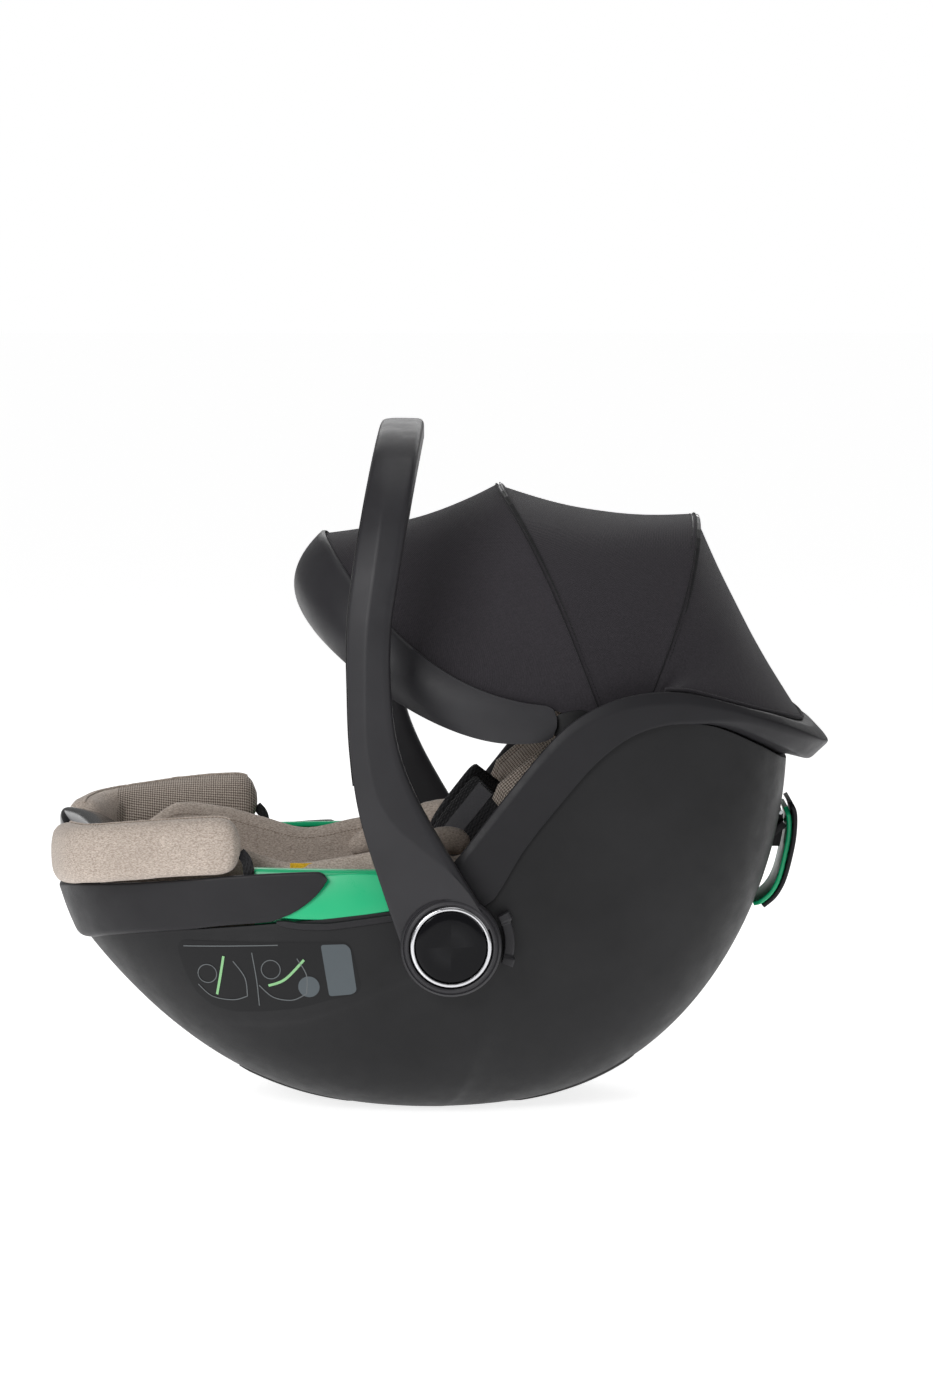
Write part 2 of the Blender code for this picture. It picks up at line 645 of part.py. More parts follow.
def adapter_trigger(label, side, cutter):
    """Arc-shaped release behind the hub, which slides towards the hub."""
    inner_radius, outer_radius = 44.5, 52.0
    rings = []
    for i in range(13):
        angle = math.radians(-25.0 + 50.0 * i / 12)
        row = []
        for r, y in ((inner_radius, 170), (outer_radius, 170), (outer_radius, 195.5),
                     (outer_radius - 1.5, 197.2), (inner_radius, 197.2)):
            row.append((HUB[0] + r * math.cos(angle), side * y, HUB[1] + r * math.sin(angle)))
        rings.append(row)
    piece = loft(f"adapter_trigger_{label}", rings, HANDLE_PLASTIC)
    add_boolean(piece, cutter)
    return piece


# ---------------------------------------------------------------- canopy

def rib_point(rib, turn, lift=0.0):
    """A point of a rib; turn runs from 0 at one side to pi at the other."""
    c = math.cos(turn)
    y = math.copysign((rib["half_width"] + lift) * abs(c) ** (2 / RIB_EXPONENT), c)
    r = (rib["radius"] + lift) * math.sin(turn) ** (2 / RIB_EXPONENT)
    lean = math.radians(rib["angle"])
    bow = RIB_BOW * (1 - (r / rib["radius"]) ** 4) * min(1.0, r / 40.0)
    x = PIVOT[0] + r * math.sin(lean) + bow * math.cos(lean)
    z = PIVOT[1] + r * math.cos(lean) - bow * math.sin(lean)
    return x, y, z


def canopy_rib(name, rib):
    """A sprung plastic hoop with an eye at each end, hinged on the canopy pivots."""
    turns = [0.002 + (math.pi - 0.004) * i / 32 for i in range(33)]
    path = [rib_point(rib, t) for t in turns]
    half_a, half_b = RIB_SECTION[0] / 2, RIB_SECTION[1] / 2
    sections = [[(half_a, half_b), (-half_a, half_b), (-half_a, -half_b), (half_a, -half_b)]] * len(path)
    lean = math.radians(rib["angle"])
    hoop = sweep(name, path, (math.cos(lean), 0, -math.sin(lean)), sections, HANDLE_PLASTIC)
    for side in (1, -1):
        low, high = sorted((side * (rib["half_width"] - half_b), side * (rib["half_width"] + half_b)))
        eye = disc(f"{name}_eye_{side}", *PIVOT, EYE_RADIUS, low, high, HANDLE_PLASTIC, sides=24)
        add_boolean(hoop, eye, "UNION")
        drill_pivot(hoop, name, side)
    return hoop


def drill_pivot(target, name, side):
    low, high = sorted((side * 140.0, side * 186.0))
    hole = disc(f"{name}_hole_{side}", *PIVOT, PIN_RADIUS + 0.25, low, high, HANDLE_PLASTIC, sides=20)
    add_boolean(target, hole)


def canopy_pivot(label, side):
    """Pin with a round foot that holds the ribs and the visor beside the shell wall."""
    low, high = sorted((side * 153.8, side * 172.5))
    pin = disc(f"canopy_pivot_{label}", *PIVOT, PIN_RADIUS, low, high, STEEL, sides=20)
    low, high = sorted((side * 172.1, side * 175.0))
    foot = disc(f"pivot_foot_{label}", *PIVOT, 10.0, low, high, HANDLE_PLASTIC, sides=24)
    add_boolean(pin, foot, "UNION")
    return pin


def visor_edges(turn):
    """Upper and lower edge of the rigid brim; turn runs from -90 to 90 degrees."""
    c = max(math.cos(turn), 0.0)
    s = math.sin(turn)
    reach = c ** (2 / 2.5)
    y = math.copysign(VISOR_HALF_WIDTH * abs(s) ** (2 / 2.5), s)
    upper = (121 - 217 * reach, y * 0.985, 352 + 137 * reach ** 2.35)
    low_reach = max(0.0, (reach - 0.25) / 0.75)
    lower_z = 321 + 91 * low_reach ** 1.7 + 10 * max(0.0, (0.22 - reach) / 0.22) ** 2
    lower = (121 - 228 * reach, y, lower_z)
    return upper, lower


def visor():
    """Rigid brim: a curved plate that narrows towards its two arms."""
    rows = []
    for i in range(33):
        turn = math.radians(-90 + 180 * i / 32)
        upper, lower = visor_edges(turn)
        bulge_size = 3.0 + 15.0 * math.cos(turn) ** 1.5
        row = []
        for j in range(5):
            v = j / 4
            bulge = bulge_size * 4 * v * (1 - v)
            x = upper[0] + (lower[0] - upper[0]) * v - bulge * math.cos(turn)
            y = upper[1] + (lower[1] - upper[1]) * v + bulge * math.sin(turn) * 0.6
            row.append((x, y, upper[2] + (lower[2] - upper[2]) * v))
        rows.append(row)
    brim = sheet("visor", rows, HANDLE_PLASTIC, 3.0)
    for side in (1, -1):
        centre_y = side * (VISOR_HALF_WIDTH - 0.2)
        low, high = sorted((centre_y - 1.5, centre_y + 1.5))
        arm_points = [(124, 350), (112, 347), (112, 335), (133, 295), (146, 295), (148, 305)]
        arm = loft(f"visor_arm_{side}", [[(x, y, z) for x, z in arm_points] for y in (low, high)],
                   HANDLE_PLASTIC)
        eye = disc(f"visor_eye_{side}", *PIVOT, EYE_RADIUS + 1.5, low, high, HANDLE_PLASTIC, sides=24)
        add_boolean(brim, arm, "UNION")
        add_boolean(brim, eye, "UNION")
        drill_pivot(brim, "visor", side)
    return brim


def panel(name, start, end, sag, shares, turns):
    """A fabric panel between two edges; start and end give a point for each turn."""
    rows = []
    for share in shares:
        row = []
        for turn in turns:
            a = Vector(start(turn))
            b = Vector(end(turn))
            point = a.lerp(b, share)
            centre = Vector((PIVOT[0], 0, PIVOT[1]))
            inward = (centre - point)
            inward.y *= 0.35
            depth = sag * 4 * share * (1 - share) * math.sin(turn) ** 1.5
            row.append(tuple(point + inward.normalized() * depth))
        rows.append(row)
    return sheet(name, rows, CANOPY_FABRIC, 1.6)


def rear_hem(turn):
    """Where the rear panel meets the head rim: along its inner top edge."""
    start = 0.367 * math.pi
    angle = start * math.cos(turn)
    x, y = plan_point(angle, HULL_FOOT_X, HULL_HEAD_X + 12, HULL_HALF_WIDTH - 9)
    return x, y, smooth_height(HEAD_RIM_TOP, x) + 3.0


def visor_top(turn):
    upper, lower = visor_edges(math.pi / 2 - turn)
    return upper[0] + 5.0, upper[1], upper[2] + 1.0


def beside_rib(rib, offset):
    """A rib's line moved sideways out of its plane, for a panel's edge."""
    lean = math.radians(rib["angle"])

    def edge(turn):
        x, y, z = rib_point(rib, turn, 1.0)
        return x + offset * math.cos(lean), y, z - offset * math.sin(lean)
    return edge


def canopy_panels():
    turns = [math.radians(12 + 156 * i / 24) for i in range(25)]
    shares = [0.0, 0.25, 0.5, 0.75, 1.0]
    beside = RIB_SECTION[0] / 2 + 1.5
    panel("canopy_front_panel", beside_rib(MID_RIB, -beside), visor_top, 9.0, shares, turns)
    panel("canopy_middle_panel", beside_rib(REAR_RIB, -beside), beside_rib(MID_RIB, beside), 10.0,
          shares, turns)
    panel("canopy_rear_panel", beside_rib(REAR_RIB, beside), rear_hem, 4.0, shares, turns)


# ---------------------------------------------------------------- harness

def buckle():
    """Buckle on its crotch strap, with a sunk push button and the two strap tongues."""
    along = (math.cos(math.radians(BUCKLE_TILT)), 0, math.sin(math.radians(BUCKLE_TILT)))
    across = (0, 1, 0)
    up = Vector(along).cross(Vector(across))
    centre = Vector(BUCKLE_CENTRE)
    slab("crotch_strap", centre - Vector(along) * 31 + up * 5, along, across, 15, 17, 2.5, 2.0, WEBBING)
    body = slab("buckle_body", centre, along, across, 15, 27, 14, 6.0, GLOSS_BLACK)
    pocket = slab("buckle_pocket", centre - Vector(along) * 3 + up * 8, along, across, 8.6, 12.6, 9, 2.8,
                  GLOSS_BLACK)
    add_boolean(body, pocket)
    slab("buckle_button", centre - Vector(along) * 3 + up * 11, along, across, 8, 12, 5, 2.5, RED_PLASTIC)
    for label, side in (("left", 1), ("right", -1)):
        tongue = centre + Vector(along) * 23.8 + up * 6 + Vector((0, side * 15, 0))
        slab(f"buckle_tongue_{label}", tongue, along, across, 8, 10, 3, 2, STEEL)


def harness():
    """Shoulder and lap straps, shoulder pads and the plate that joins the straps below."""
    for label, side in (("left", 1), ("right", -1)):
        shoulder = through([(-42, side * 24, 176), (-18, side * 34, 196), (3, side * 44, 216)], 7)
        sections = [rounded_outline(1.2, 15, 1.0, 1)] * 7
        sweep(f"shoulder_strap_{label}", shoulder, (-0.64, 0, 0.77), sections, WEBBING)
        pad = through([(6, side * 46, 222), (24, side * 52, 246), (42, side * 55, 268)], 7)
        sections = [rounded_outline(5.5, 27, 5.0, 2)] * 7
        sweep(f"shoulder_pad_{label}", pad, (-0.8, 0, 0.6), sections, WEBBING)
        lap = through([(-60, side * 33, 166), (-62, side * 60, 154), (-66, side * 86, 146)], 7)
        sections = [rounded_outline(13, 1.2, 1.0, 1)] * 7
        sweep(f"lap_strap_{label}", lap, (0.9, 0, 0.43), sections, WEBBING)
    slab("harness_yoke", (20, 0, 6.2), (1, 0, 0), (0, 1, 0), 14, 26, 3, 3.0, STEEL)


def length_adjuster():
    """Clamp in the front of the seat, with its release button and the strap's free end."""
    inset = 2.0 + COVER_THICKNESS
    low = Vector(cavity_point(math.pi, 0.4, inset, CAVITY_HALF_WIDTH))
    high = Vector(cavity_point(math.pi, 0.2, inset, CAVITY_HALF_WIDTH))
    along = (low - high).normalized()
    across = Vector((0, 1, 0))
    up = along.cross(across)
    centre = (low + high) / 2
    body = slab("adjuster_housing", centre + up * 2.5, along, across, 17, 21, 10, 5.0, HANDLE_PLASTIC)
    pocket = slab("adjuster_pocket", centre + up * 6.5, along, across, 9.6, 12.6, 9, 3.0, HANDLE_PLASTIC)
    add_boolean(body, pocket)
    slab("adjuster_button", centre + up * 9.5, along, across, 9, 12, 5, 2.7, GLOSS_BLACK)
    tail = []
    for i in range(9):
        point = Vector(cavity_point(math.pi, 0.19 - 0.165 * i / 8, inset, CAVITY_HALF_WIDTH))
        tail.append(point + up * 4.5)
    sweep("adjuster_strap", tail, (0, 1, 0), [rounded_outline(18, 1.2, 1.0, 1)] * 9, WEBBING)


# ---------------------------------------------------------------- shell fittings

def front_adjuster_cover():
    """Dark lip at the foot end, between the two wings."""
    rings = []
    for i in range(11):
        y = -52 + 104 * i / 10
        bend = (y / 52) ** 2
        x = -318 + 12 * bend
        top = 248 - 8 * bend
        rings.append([(x - 6, y, 195.2), (x - 8, y, top - 5), (x - 5, y, top), (x + 12, y, top - 3),
                      (x + 30, y, top - 14), (x + 30, y, top - 17), (x + 8, y, top - 9),
                      (x - 2, y, top - 12), (x, y, 195.2)])
    return loft("front_adjuster_cover", rings, GLOSS_BLACK)


def belt_guide(label, side):
    """Green lap-belt saddle on the side wall, between foot rim and handle."""
    rings = []
    for i in range(15):
        x = -150 + 106 * i / 14
        top = BELT_GUIDE_TOP
        angle = angle_at(x, HULL_FOOT_X, HULL_HEAD_X)
        wide = plan_point(angle, HULL_FOOT_X, HULL_HEAD_X, HULL_HALF_WIDTH)[1] - 7.0
        section = [(0, 156), (0, top - 4), (2, top - 1), (6, top), (11.5, top), (11.5, top - 4), (7, top - 6),
                   (6, 156)]
        rings.append([(x, side * (wide - inset), z) for inset, z in section])
    return loft(f"belt_guide_{label}", rings, GREEN_PLASTIC)


def belt_hook(cutter):
    """Rear guide for the car's shoulder belt: green hook, black cover, bracket and pin."""
    centre = [(303.5, 252), (306.5, 243), (306.5, 228), (303, 209), (298, 190), (291, 177.5),
              (282, 169.5), (276.5, 167)]
    route = through([(x, 0, z) for x, z in centre], 19)
    green = sweep("belt_hook", route, (0, 1, 0), [rounded_outline(33, 2.0, 1.2, 1)] * 19, GREEN_PLASTIC)
    outer_centre = [(307, 257), (311.3, 247), (311, 228), (307.5, 208), (302, 188), (294.5, 174.5),
                    (284.5, 165.5)]
    outer_route = through([(x, 0, z) for x, z in outer_centre], 17)
    sections = []
    for i in range(17):
        half = 38 - 8 * (i / 16) ** 2
        sections.append(rounded_outline(half, 1.9, 1.2, 1))
    cover = sweep("belt_hook_cover", outer_route, (0, 1, 0), sections, SHELL_PLASTIC)
    bracket = loft("belt_hook_bracket",
                   [[(x, y, z) for x, z in ((280, 216), (299.5, 216), (302.6, 232), (302.4, 244),
                                            (299.5, 252), (280, 256))]
                    for y in (-14, 14)], SHELL_PLASTIC)
    add_boolean(bracket, cutter)
    return green, cover, bracket


def main():
    clear_scene()
    cutter = hull_cutter()
    shell()
    foot_rim()
    head_rim()
    foam_liner()
    seat_cover()
    ride_on_axis(handle(), "handle_axis", (HUB[0], 0, HUB[1]))
    for label, side in (("left", 1), ("right", -1)):
        hub_parts(label, side, cutter)
        adapter_trigger(label, side, cutter)
        foot_wing(f"foot_wing_{label}", side)
        belt_guide(label, side)
        canopy_pivot(label, side)
    ribs = [canopy_rib("canopy_rear_rib", REAR_RIB), canopy_rib("canopy_middle_rib", MID_RIB), visor()]
    ride_on_axis(ribs, "canopy_axis", (PIVOT[0], 0, PIVOT[1]))
    canopy_panels()
    headrest_piece("headrest_core", HEADREST_HALF_WIDTH, 0.0, HEADREST_WING - 6, 7.0,
                   (0.0, HEADREST_LENGTH), FOAM)
    headrest_piece("headrest_pad", HEADREST_HALF_WIDTH - 7.6, 7.6, HEADREST_WING, 14.0,
                   (-3.0, HEADREST_LENGTH - 6), KNIT_FABRIC)
    headrest_handle()
    buckle()
    harness()
    length_adjuster()
    front_adjuster_cover()
    belt_hook(cutter)


main()
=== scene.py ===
"""Looks of an infant car seat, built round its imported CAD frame."""

import math

import bmesh
import bpy
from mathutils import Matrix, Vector, noise
from mathutils.bvhtree import BVHTree


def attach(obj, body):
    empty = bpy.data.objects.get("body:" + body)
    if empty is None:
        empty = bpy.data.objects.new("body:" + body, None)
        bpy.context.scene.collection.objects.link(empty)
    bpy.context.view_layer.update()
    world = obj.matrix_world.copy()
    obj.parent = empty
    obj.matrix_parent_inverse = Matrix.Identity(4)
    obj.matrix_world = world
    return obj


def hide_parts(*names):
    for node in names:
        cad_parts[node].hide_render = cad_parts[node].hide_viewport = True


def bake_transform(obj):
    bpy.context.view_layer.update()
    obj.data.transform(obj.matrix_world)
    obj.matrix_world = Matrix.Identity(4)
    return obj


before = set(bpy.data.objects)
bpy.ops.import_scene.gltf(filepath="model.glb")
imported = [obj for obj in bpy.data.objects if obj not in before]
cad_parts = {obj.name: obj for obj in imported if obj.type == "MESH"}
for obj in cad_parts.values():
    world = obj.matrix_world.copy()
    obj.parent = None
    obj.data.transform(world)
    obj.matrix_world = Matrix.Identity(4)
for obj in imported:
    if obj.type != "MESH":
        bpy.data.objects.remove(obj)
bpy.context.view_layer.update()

# Sizes in millimetres; piece() turns them into metres. They repeat the CAD source's own values.
# X runs from the foot end to the head end, Y to the left side and Z up.
MM = 0.001
SIDES = (("left", 1), ("right", -1))

# The bucket's outline from above: its foot half and its head half meet at HULL_MID_X
HULL_MID_X = 40.0
HULL_FOOT_X = -300.0
HULL_HEAD_X = 304.0
HULL_HALF_WIDTH = 187.0
HULL_WALL = 4.5
BASE_HALF_LENGTH = 60.0
BASE_HALF_WIDTH = 78.0
FOOT_EXPONENT = 2.8
HEAD_EXPONENT = 3.0

FOOT_RIM_X = -326.0
HEAD_RIM_X = 340.0
RIM_PROUD = 3.0
HEAD_RIM_START_X = -20.0

# The handle and its buttons turn about HUB (X, Z)
HUB = (15.0, 157.0)
HUB_RADIUS = 42.0
HANDLE_SPLIT_Y = 207.8

# The canopy's ribs turn about PIVOT (X, Z); a rib's angle is measured back from upright
PIVOT = (140.0, 300.0)
REAR_RIB = {"radius": 218.2, "angle": 22.9, "half_width": 157.0}
MID_RIB = {"radius": 242.3, "angle": -20.5, "half_width": 162.0}
RIB_BOW = 16.0
RIB_EXPONENT = 2.4
VISOR_HALF_WIDTH = 167.0
VISOR_EXPONENT = 2.5

CAVITY_HALF_WIDTH = 145.0
CAVITY_FOOT_X = -292.0
CAVITY_HEAD_X = 262.0
CAVITY_FLOOR_Z = 92.0
COVER_THICKNESS = 14.0

BACK_ANGLE = 40.0
HEADREST_ORIGIN = (101.0, 0.0, 206.0)
BUCKLE_TILT = 39.0
BUCKLE_CENTRE = (-70.0, 0.0, 141.0)

# Heights (Z) of the edges against X, joined by smooth curves
SHELL_EDGE = [(-300, 142), (-268, 153), (-225, 160.5), (-140, 170), (-108, 173.5), (-48, 181),
              (-10, 184.5), (30, 186), (47, 189.5), (71, 232.5), (99, 272.5), (126, 307),
              (154, 329.5), (183, 338), (215, 338), (240, 333), (276, 315), (304, 296)]
FOOT_RIM_TOP = [(-326, 186), (-316, 192), (-290, 197), (-250, 202), (-197, 208), (-161, 212),
                (-120, 215), (-96, 216), (-91, 214), (-88.5, 210)]
FOOT_TIP_BOTTOM = [(-152, 170.5), (-139, 172), (-130, 175), (-120, 179), (-110, 185), (-100, 193),
                   (-93, 201), (-88.5, 208)]
HEAD_RIM_TOP = [(-20, 198), (0, 209), (17, 224), (49, 265), (90, 316), (110, 337), (124, 347),
                (139, 355), (159, 362), (185, 366), (212, 365), (244, 356), (276, 346), (306, 336),
                (340, 318)]
LINER_EDGE = [(-292, 160), (-200, 165), (-100, 172), (-40, 178), (0, 196), (40, 236), (70, 280),
              (95, 308), (150, 322), (200, 322), (262, 292)]
COVER_EDGE = [(-292, 214), (-256, 226), (-229, 241), (-192, 236), (-155, 225), (-116, 215.5),
              (-71, 223), (-25, 231), (0, 228), (20, 222), (48, 256), (70, 281), (95, 308),
              (150, 330), (200, 330), (262, 302)]
PANEL_CREASE = [(-300, 60), (-197, 80), (-117, 85), (-69, 101), (-20, 122), (10, 130)]


# ---------------------------------------------------------------- curves and outlines

def smooth_height(table, x):
    """Height at x on a smooth curve through a table of (x, height) pairs."""
    if x <= table[0][0]:
        return table[0][1]
    if x >= table[-1][0]:
        return table[-1][1]
    k = 0
    while x > table[k + 1][0]:
        k += 1
    x0, z0 = table[k]
    x1, z1 = table[k + 1]
    span = x1 - x0
    chord = (z1 - z0) / span
    m0 = limited(slope_at(table, k), chord) * span
    m1 = limited(slope_at(table, k + 1), chord) * span
    t = (x - x0) / span
    return ((2 * t ** 3 - 3 * t ** 2 + 1) * z0 + (t ** 3 - 2 * t ** 2 + t) * m0
            + (-2 * t ** 3 + 3 * t ** 2) * z1 + (t ** 3 - t ** 2) * m1)


def slope_at(table, i):
    """Slope of a table at one of its points, from the points beside it."""
    low = table[max(i - 1, 0)]
    high = table[min(i + 1, len(table) - 1)]
    return (high[1] - low[1]) / (high[0] - low[0])


def limited(slope, chord):
    """Keep a curve's slope from overshooting between two points."""
    if chord == 0 or slope * chord <= 0:
        return 0.0
    return slope if abs(slope) < 3 * abs(chord) else 3 * chord


def ease(low, high, value):
    """0 below low, 1 above high, smooth between them."""
    t = min(1.0, max(0.0, (value - low) / (high - low)))
    return t * t * (3 - 2 * t)


def through(points, count):
    """Points along a smooth (Catmull-Rom) curve through the given points."""
    last = len(points) - 1
    made = []
    for i in range(count):
        u = last * i / (count - 1)
        k = min(int(u), last - 1)
        t = u - k
        p0 = Vector(points[max(k - 1, 0)])
        p1 = Vector(points[k])
        p2 = Vector(points[k + 1])
        p3 = Vector(points[min(k + 2, last)])
        made.append(0.5 * (2 * p1 + (p2 - p0) * t + (2 * p0 - 5 * p1 + 4 * p2 - p3) * t * t
                           + (3 * p1 - p0 - 3 * p2 + p3) * t ** 3))
    return made


def bezier(p0, p1, p2, p3, t):
    """A point of a cubic curve from p0 to p3."""
    u = 1 - t
    return tuple(u ** 3 * a + 3 * u * u * t * b + 3 * u * t * t * c + t ** 3 * d
                 for a, b, c, d in zip(p0, p1, p2, p3))


def circle(sides):
    """Angles round a whole turn."""
    return [2 * math.pi * i / sides for i in range(sides)]


def filleted(corners, radius, steps=3):
    """A closed outline, flat or in space, with its corners rounded."""
    made = []
    count = len(corners)
    for i, corner in enumerate(corners):
        size = radius[i] if isinstance(radius, (list, tuple)) else radius
        p = Vector(corner)
        back = Vector(corners[i - 1]) - p
        ahead = Vector(corners[(i + 1) % count]) - p
        start = p + back.normalized() * min(size, back.length * 0.46)
        end = p + ahead.normalized() * min(size, ahead.length * 0.46)
        for k in range(steps + 1):
            t = k / steps
            made.append(tuple(start * (1 - t) ** 2 + p * 2 * t * (1 - t) + end * t ** 2))
    return made


def box_outline(half_a, half_b, corner, steps=4):
    """A rounded rectangle as (a, b) pairs."""
    corners = [(half_a, half_b), (-half_a, half_b), (-half_a, -half_b), (half_a, -half_b)]
    return filleted(corners, corner, steps)


def end_share(share, sharpness, least):
    """Size of a bar along its length (share 0 to 1): full, and drawn in smoothly at both ends."""
    return min(1.0, sharpness * (1 - abs(2 * share - 1)) + least) ** 0.5


def squared_oval(half_a, half_b, exponent, sides):
    """A closed outline between an oval (exponent 2) and a rectangle."""
    made = []
    for angle in circle(sides):
        c, s = math.cos(angle), math.sin(angle)
        made.append((half_a * math.copysign(abs(c) ** (2 / exponent), c),
                     half_b * math.copysign(abs(s) ** (2 / exponent), s)))
    return made


# ---------------------------------------------------------------- materials

# Each look's material and the record's slot that it stands for
LOOKS = {}


def start_look(name, slot, colour, roughness, metallic=0.0, **settings):
    """A new material with its shader; settings go on the shader's own sockets."""
    made = bpy.data.materials.new(name)
    made.use_nodes = True
    tree = made.node_tree
    tree.nodes.clear()
    output = tree.nodes.new("ShaderNodeOutputMaterial")
    shader = tree.nodes.new("ShaderNodeBsdfPrincipled")
    tree.links.new(shader.outputs[0], output.inputs[0])
    shader.inputs["Base Color"].default_value = (*colour, 1.0)
    shader.inputs["Roughness"].default_value = roughness
    shader.inputs["Metallic"].default_value = metallic
    for key, value in settings.items():
        shader.inputs[key.replace("_", " ")].default_value = value
    LOOKS[name] = (made, slot)
    return tree, shader


def add(tree, kind, inputs, **settings):
    """Add a node; inputs are values or other nodes' outputs, by socket name or number."""
    made = tree.nodes.new("ShaderNode" + kind)
    for key, value in settings.items():
        setattr(made, key, value)
    for key, value in inputs.items():
        if isinstance(value, bpy.types.NodeSocket):
            tree.links.new(value, made.inputs[key])
        else:
            made.inputs[key].default_value = value
    return made


def place(tree, surface=False):
    """The point being shaded: in the object's own space, or along a surface's own length and width."""
    texture = tree.nodes.new("ShaderNodeTexCoord")
    return texture.outputs["UV" if surface else "Object"]


def noise_at(tree, where, scale, detail=2.0, roughness=0.5):
    """Noise of a given scale (waves in a metre)."""
    return add(tree, "TexNoise", {"Vector": where, "Scale": scale, "Detail": detail,
                                  "Roughness": roughness}).outputs["Fac"]


def maths(tree, operation, a, b=0.0):
    """One arithmetic step on values or outputs."""
    return add(tree, "Math", {0: a, 1: b}, operation=operation).outputs[0]


def ranged(tree, value, low, high, from_low=0.3, from_high=0.7):
    """Map a value from one range to another; noise mostly lies between 0.3 and 0.7."""
    return add(tree, "MapRange", {"Value": value, "From Min": from_low, "From Max": from_high,
                                  "To Min": low, "To Max": high}).outputs[0]


def mixed(tree, factor, colour_a, colour_b):
    """A colour between two others, which are colours or outputs."""
    node = tree.nodes.new("ShaderNodeMix")
    node.data_type = "RGBA"
    for key, value in ((0, factor), (6, colour_a), (7, colour_b)):
        if isinstance(value, bpy.types.NodeSocket):
            tree.links.new(value, node.inputs[key])
        elif key:
            node.inputs[key].default_value = (*value, 1.0)
        else:
            node.inputs[key].default_value = value
    return node.outputs[2]


def scaled(colour, factor, lift=0.0):
    """A lighter or darker version of a colour."""
    return [c * factor + lift for c in colour]


def paint(tree, shader, colour):
    """Let a colour output drive the shader's base colour."""
    tree.links.new(colour, shader.inputs["Base Color"])


def bump(tree, shader, height, strength, distance):
    """Raise the surface by a height output; distance is the relief in metres."""
    made = add(tree, "Bump", {"Height": height, "Strength": strength, "Distance": distance})
    tree.links.new(made.outputs[0], shader.inputs["Normal"])


def moulded_plastic(name, slot, colour, roughness, grain=0.35, spread=0.14, **settings):
    """Injection-moulded plastic: fine spark texture, cloudy sheen, and a painted highlight that lightens its
    sharp edges.
    """
    tree, shader = start_look(name, slot, colour, roughness, **settings)
    where = place(tree)
    clouds = noise_at(tree, where, 9.0, 3.0)
    fine = noise_at(tree, where, 1500.0, 2.0, 0.7)
    body = mixed(tree, ranged(tree, clouds, 0.0, 1.0), scaled(colour, 1 - spread),
                 scaled(colour, 1 + spread, 0.002))
    # Painted highlight: sharp convex edges get a lighter colour, mixed in by pointiness.
    edge = add(tree, "NewGeometry", {}).outputs["Pointiness"]
    wear_and_edge_highlight = ranged(tree, edge, 0.0, 0.35, 0.52, 0.60)
    paint(tree, shader, mixed(tree, wear_and_edge_highlight, body, scaled(colour, 1.7, 0.015)))
    streaks = noise_at(tree, where, 55.0, 4.0, 0.6)
    uneven = maths(tree, "ADD", ranged(tree, streaks, -0.05, 0.06), ranged(tree, fine, -0.05, 0.05))
    tree.links.new(maths(tree, "ADD", uneven, roughness), shader.inputs["Roughness"])
    bump(tree, shader, fine, grain, 0.00025)


def metal(name, slot, colour, roughness):
    """Plated metal with faint polishing marks."""
    tree, shader = start_look(name, slot, colour, roughness, 1.0)
    where = place(tree)
    marks = noise_at(tree, where, 320.0, 3.0, 0.7)
    tree.links.new(ranged(tree, marks, roughness * 0.7, roughness * 1.6), shader.inputs["Roughness"])
    paint(tree, shader, mixed(tree, noise_at(tree, where, 30.0), scaled(colour, 0.93), colour))
    bump(tree, shader, marks, 0.05, 0.0001)


def jersey(name, slot, dark, light):
    """Brushed melange jersey: two yarn colours, tiny loops and a soft sheen."""
    tree, shader = start_look(name, slot, light, 0.92, Sheen_Weight=0.25, Sheen_Roughness=0.45,
                              Specular_IOR_Level=0.2)
    where = place(tree)
    stretched = add(tree, "Mapping", {"Vector": where, "Scale": (1.0, 1.0, 2.4)}).outputs[0]
    yarn = noise_at(tree, stretched, 495.0, 3.0, 0.75)
    loops = add(tree, "TexVoronoi", {"Vector": stretched, "Scale": 810.0}).outputs["Distance"]
    wear_and_edge_highlight = noise_at(tree, where, 14.0, 3.0)
    body = mixed(tree, ranged(tree, yarn, 0.0, 1.0, 0.36, 0.64), dark, light)
    paint(tree, shader, mixed(tree, ranged(tree, wear_and_edge_highlight, 0.22, 0.0, 0.35, 0.6), body, scaled(dark, 0.86)))
    bump(tree, shader, maths(tree, "ADD", loops, yarn), 0.55, 0.0006)


def knit(name, slot, dark, light, pitch):
    """Spacer knit: rows of raised stitches, each row offset by half a stitch, over dark gaps."""
    tree, shader = start_look(name, slot, light, 0.9, Sheen_Weight=0.2, Sheen_Roughness=0.5,
                              Specular_IOR_Level=0.2)
    where = place(tree, surface=True)
    parts = add(tree, "SeparateXYZ", {"Vector": where})
    turn = 2 * math.pi / pitch
    across = maths(tree, "MULTIPLY", parts.outputs[0], turn)
    along = maths(tree, "MULTIPLY", parts.outputs[1], turn * 0.8)
    first = maths(tree, "SINE", maths(tree, "ADD", across, along))
    second = maths(tree, "SINE", maths(tree, "SUBTRACT", across, along))
    height = maths(tree, "MULTIPLY", first, second)
    yarn = noise_at(tree, place(tree), 1400.0, 2.0, 0.7)
    uneven = maths(tree, "ADD", height, ranged(tree, yarn, -0.3, 0.3))
    raised = ranged(tree, uneven, 0.0, 1.0, -0.45, 0.35)
    paint(tree, shader, mixed(tree, raised, dark, light))
    bump(tree, shader, raised, 0.8, 0.0009)


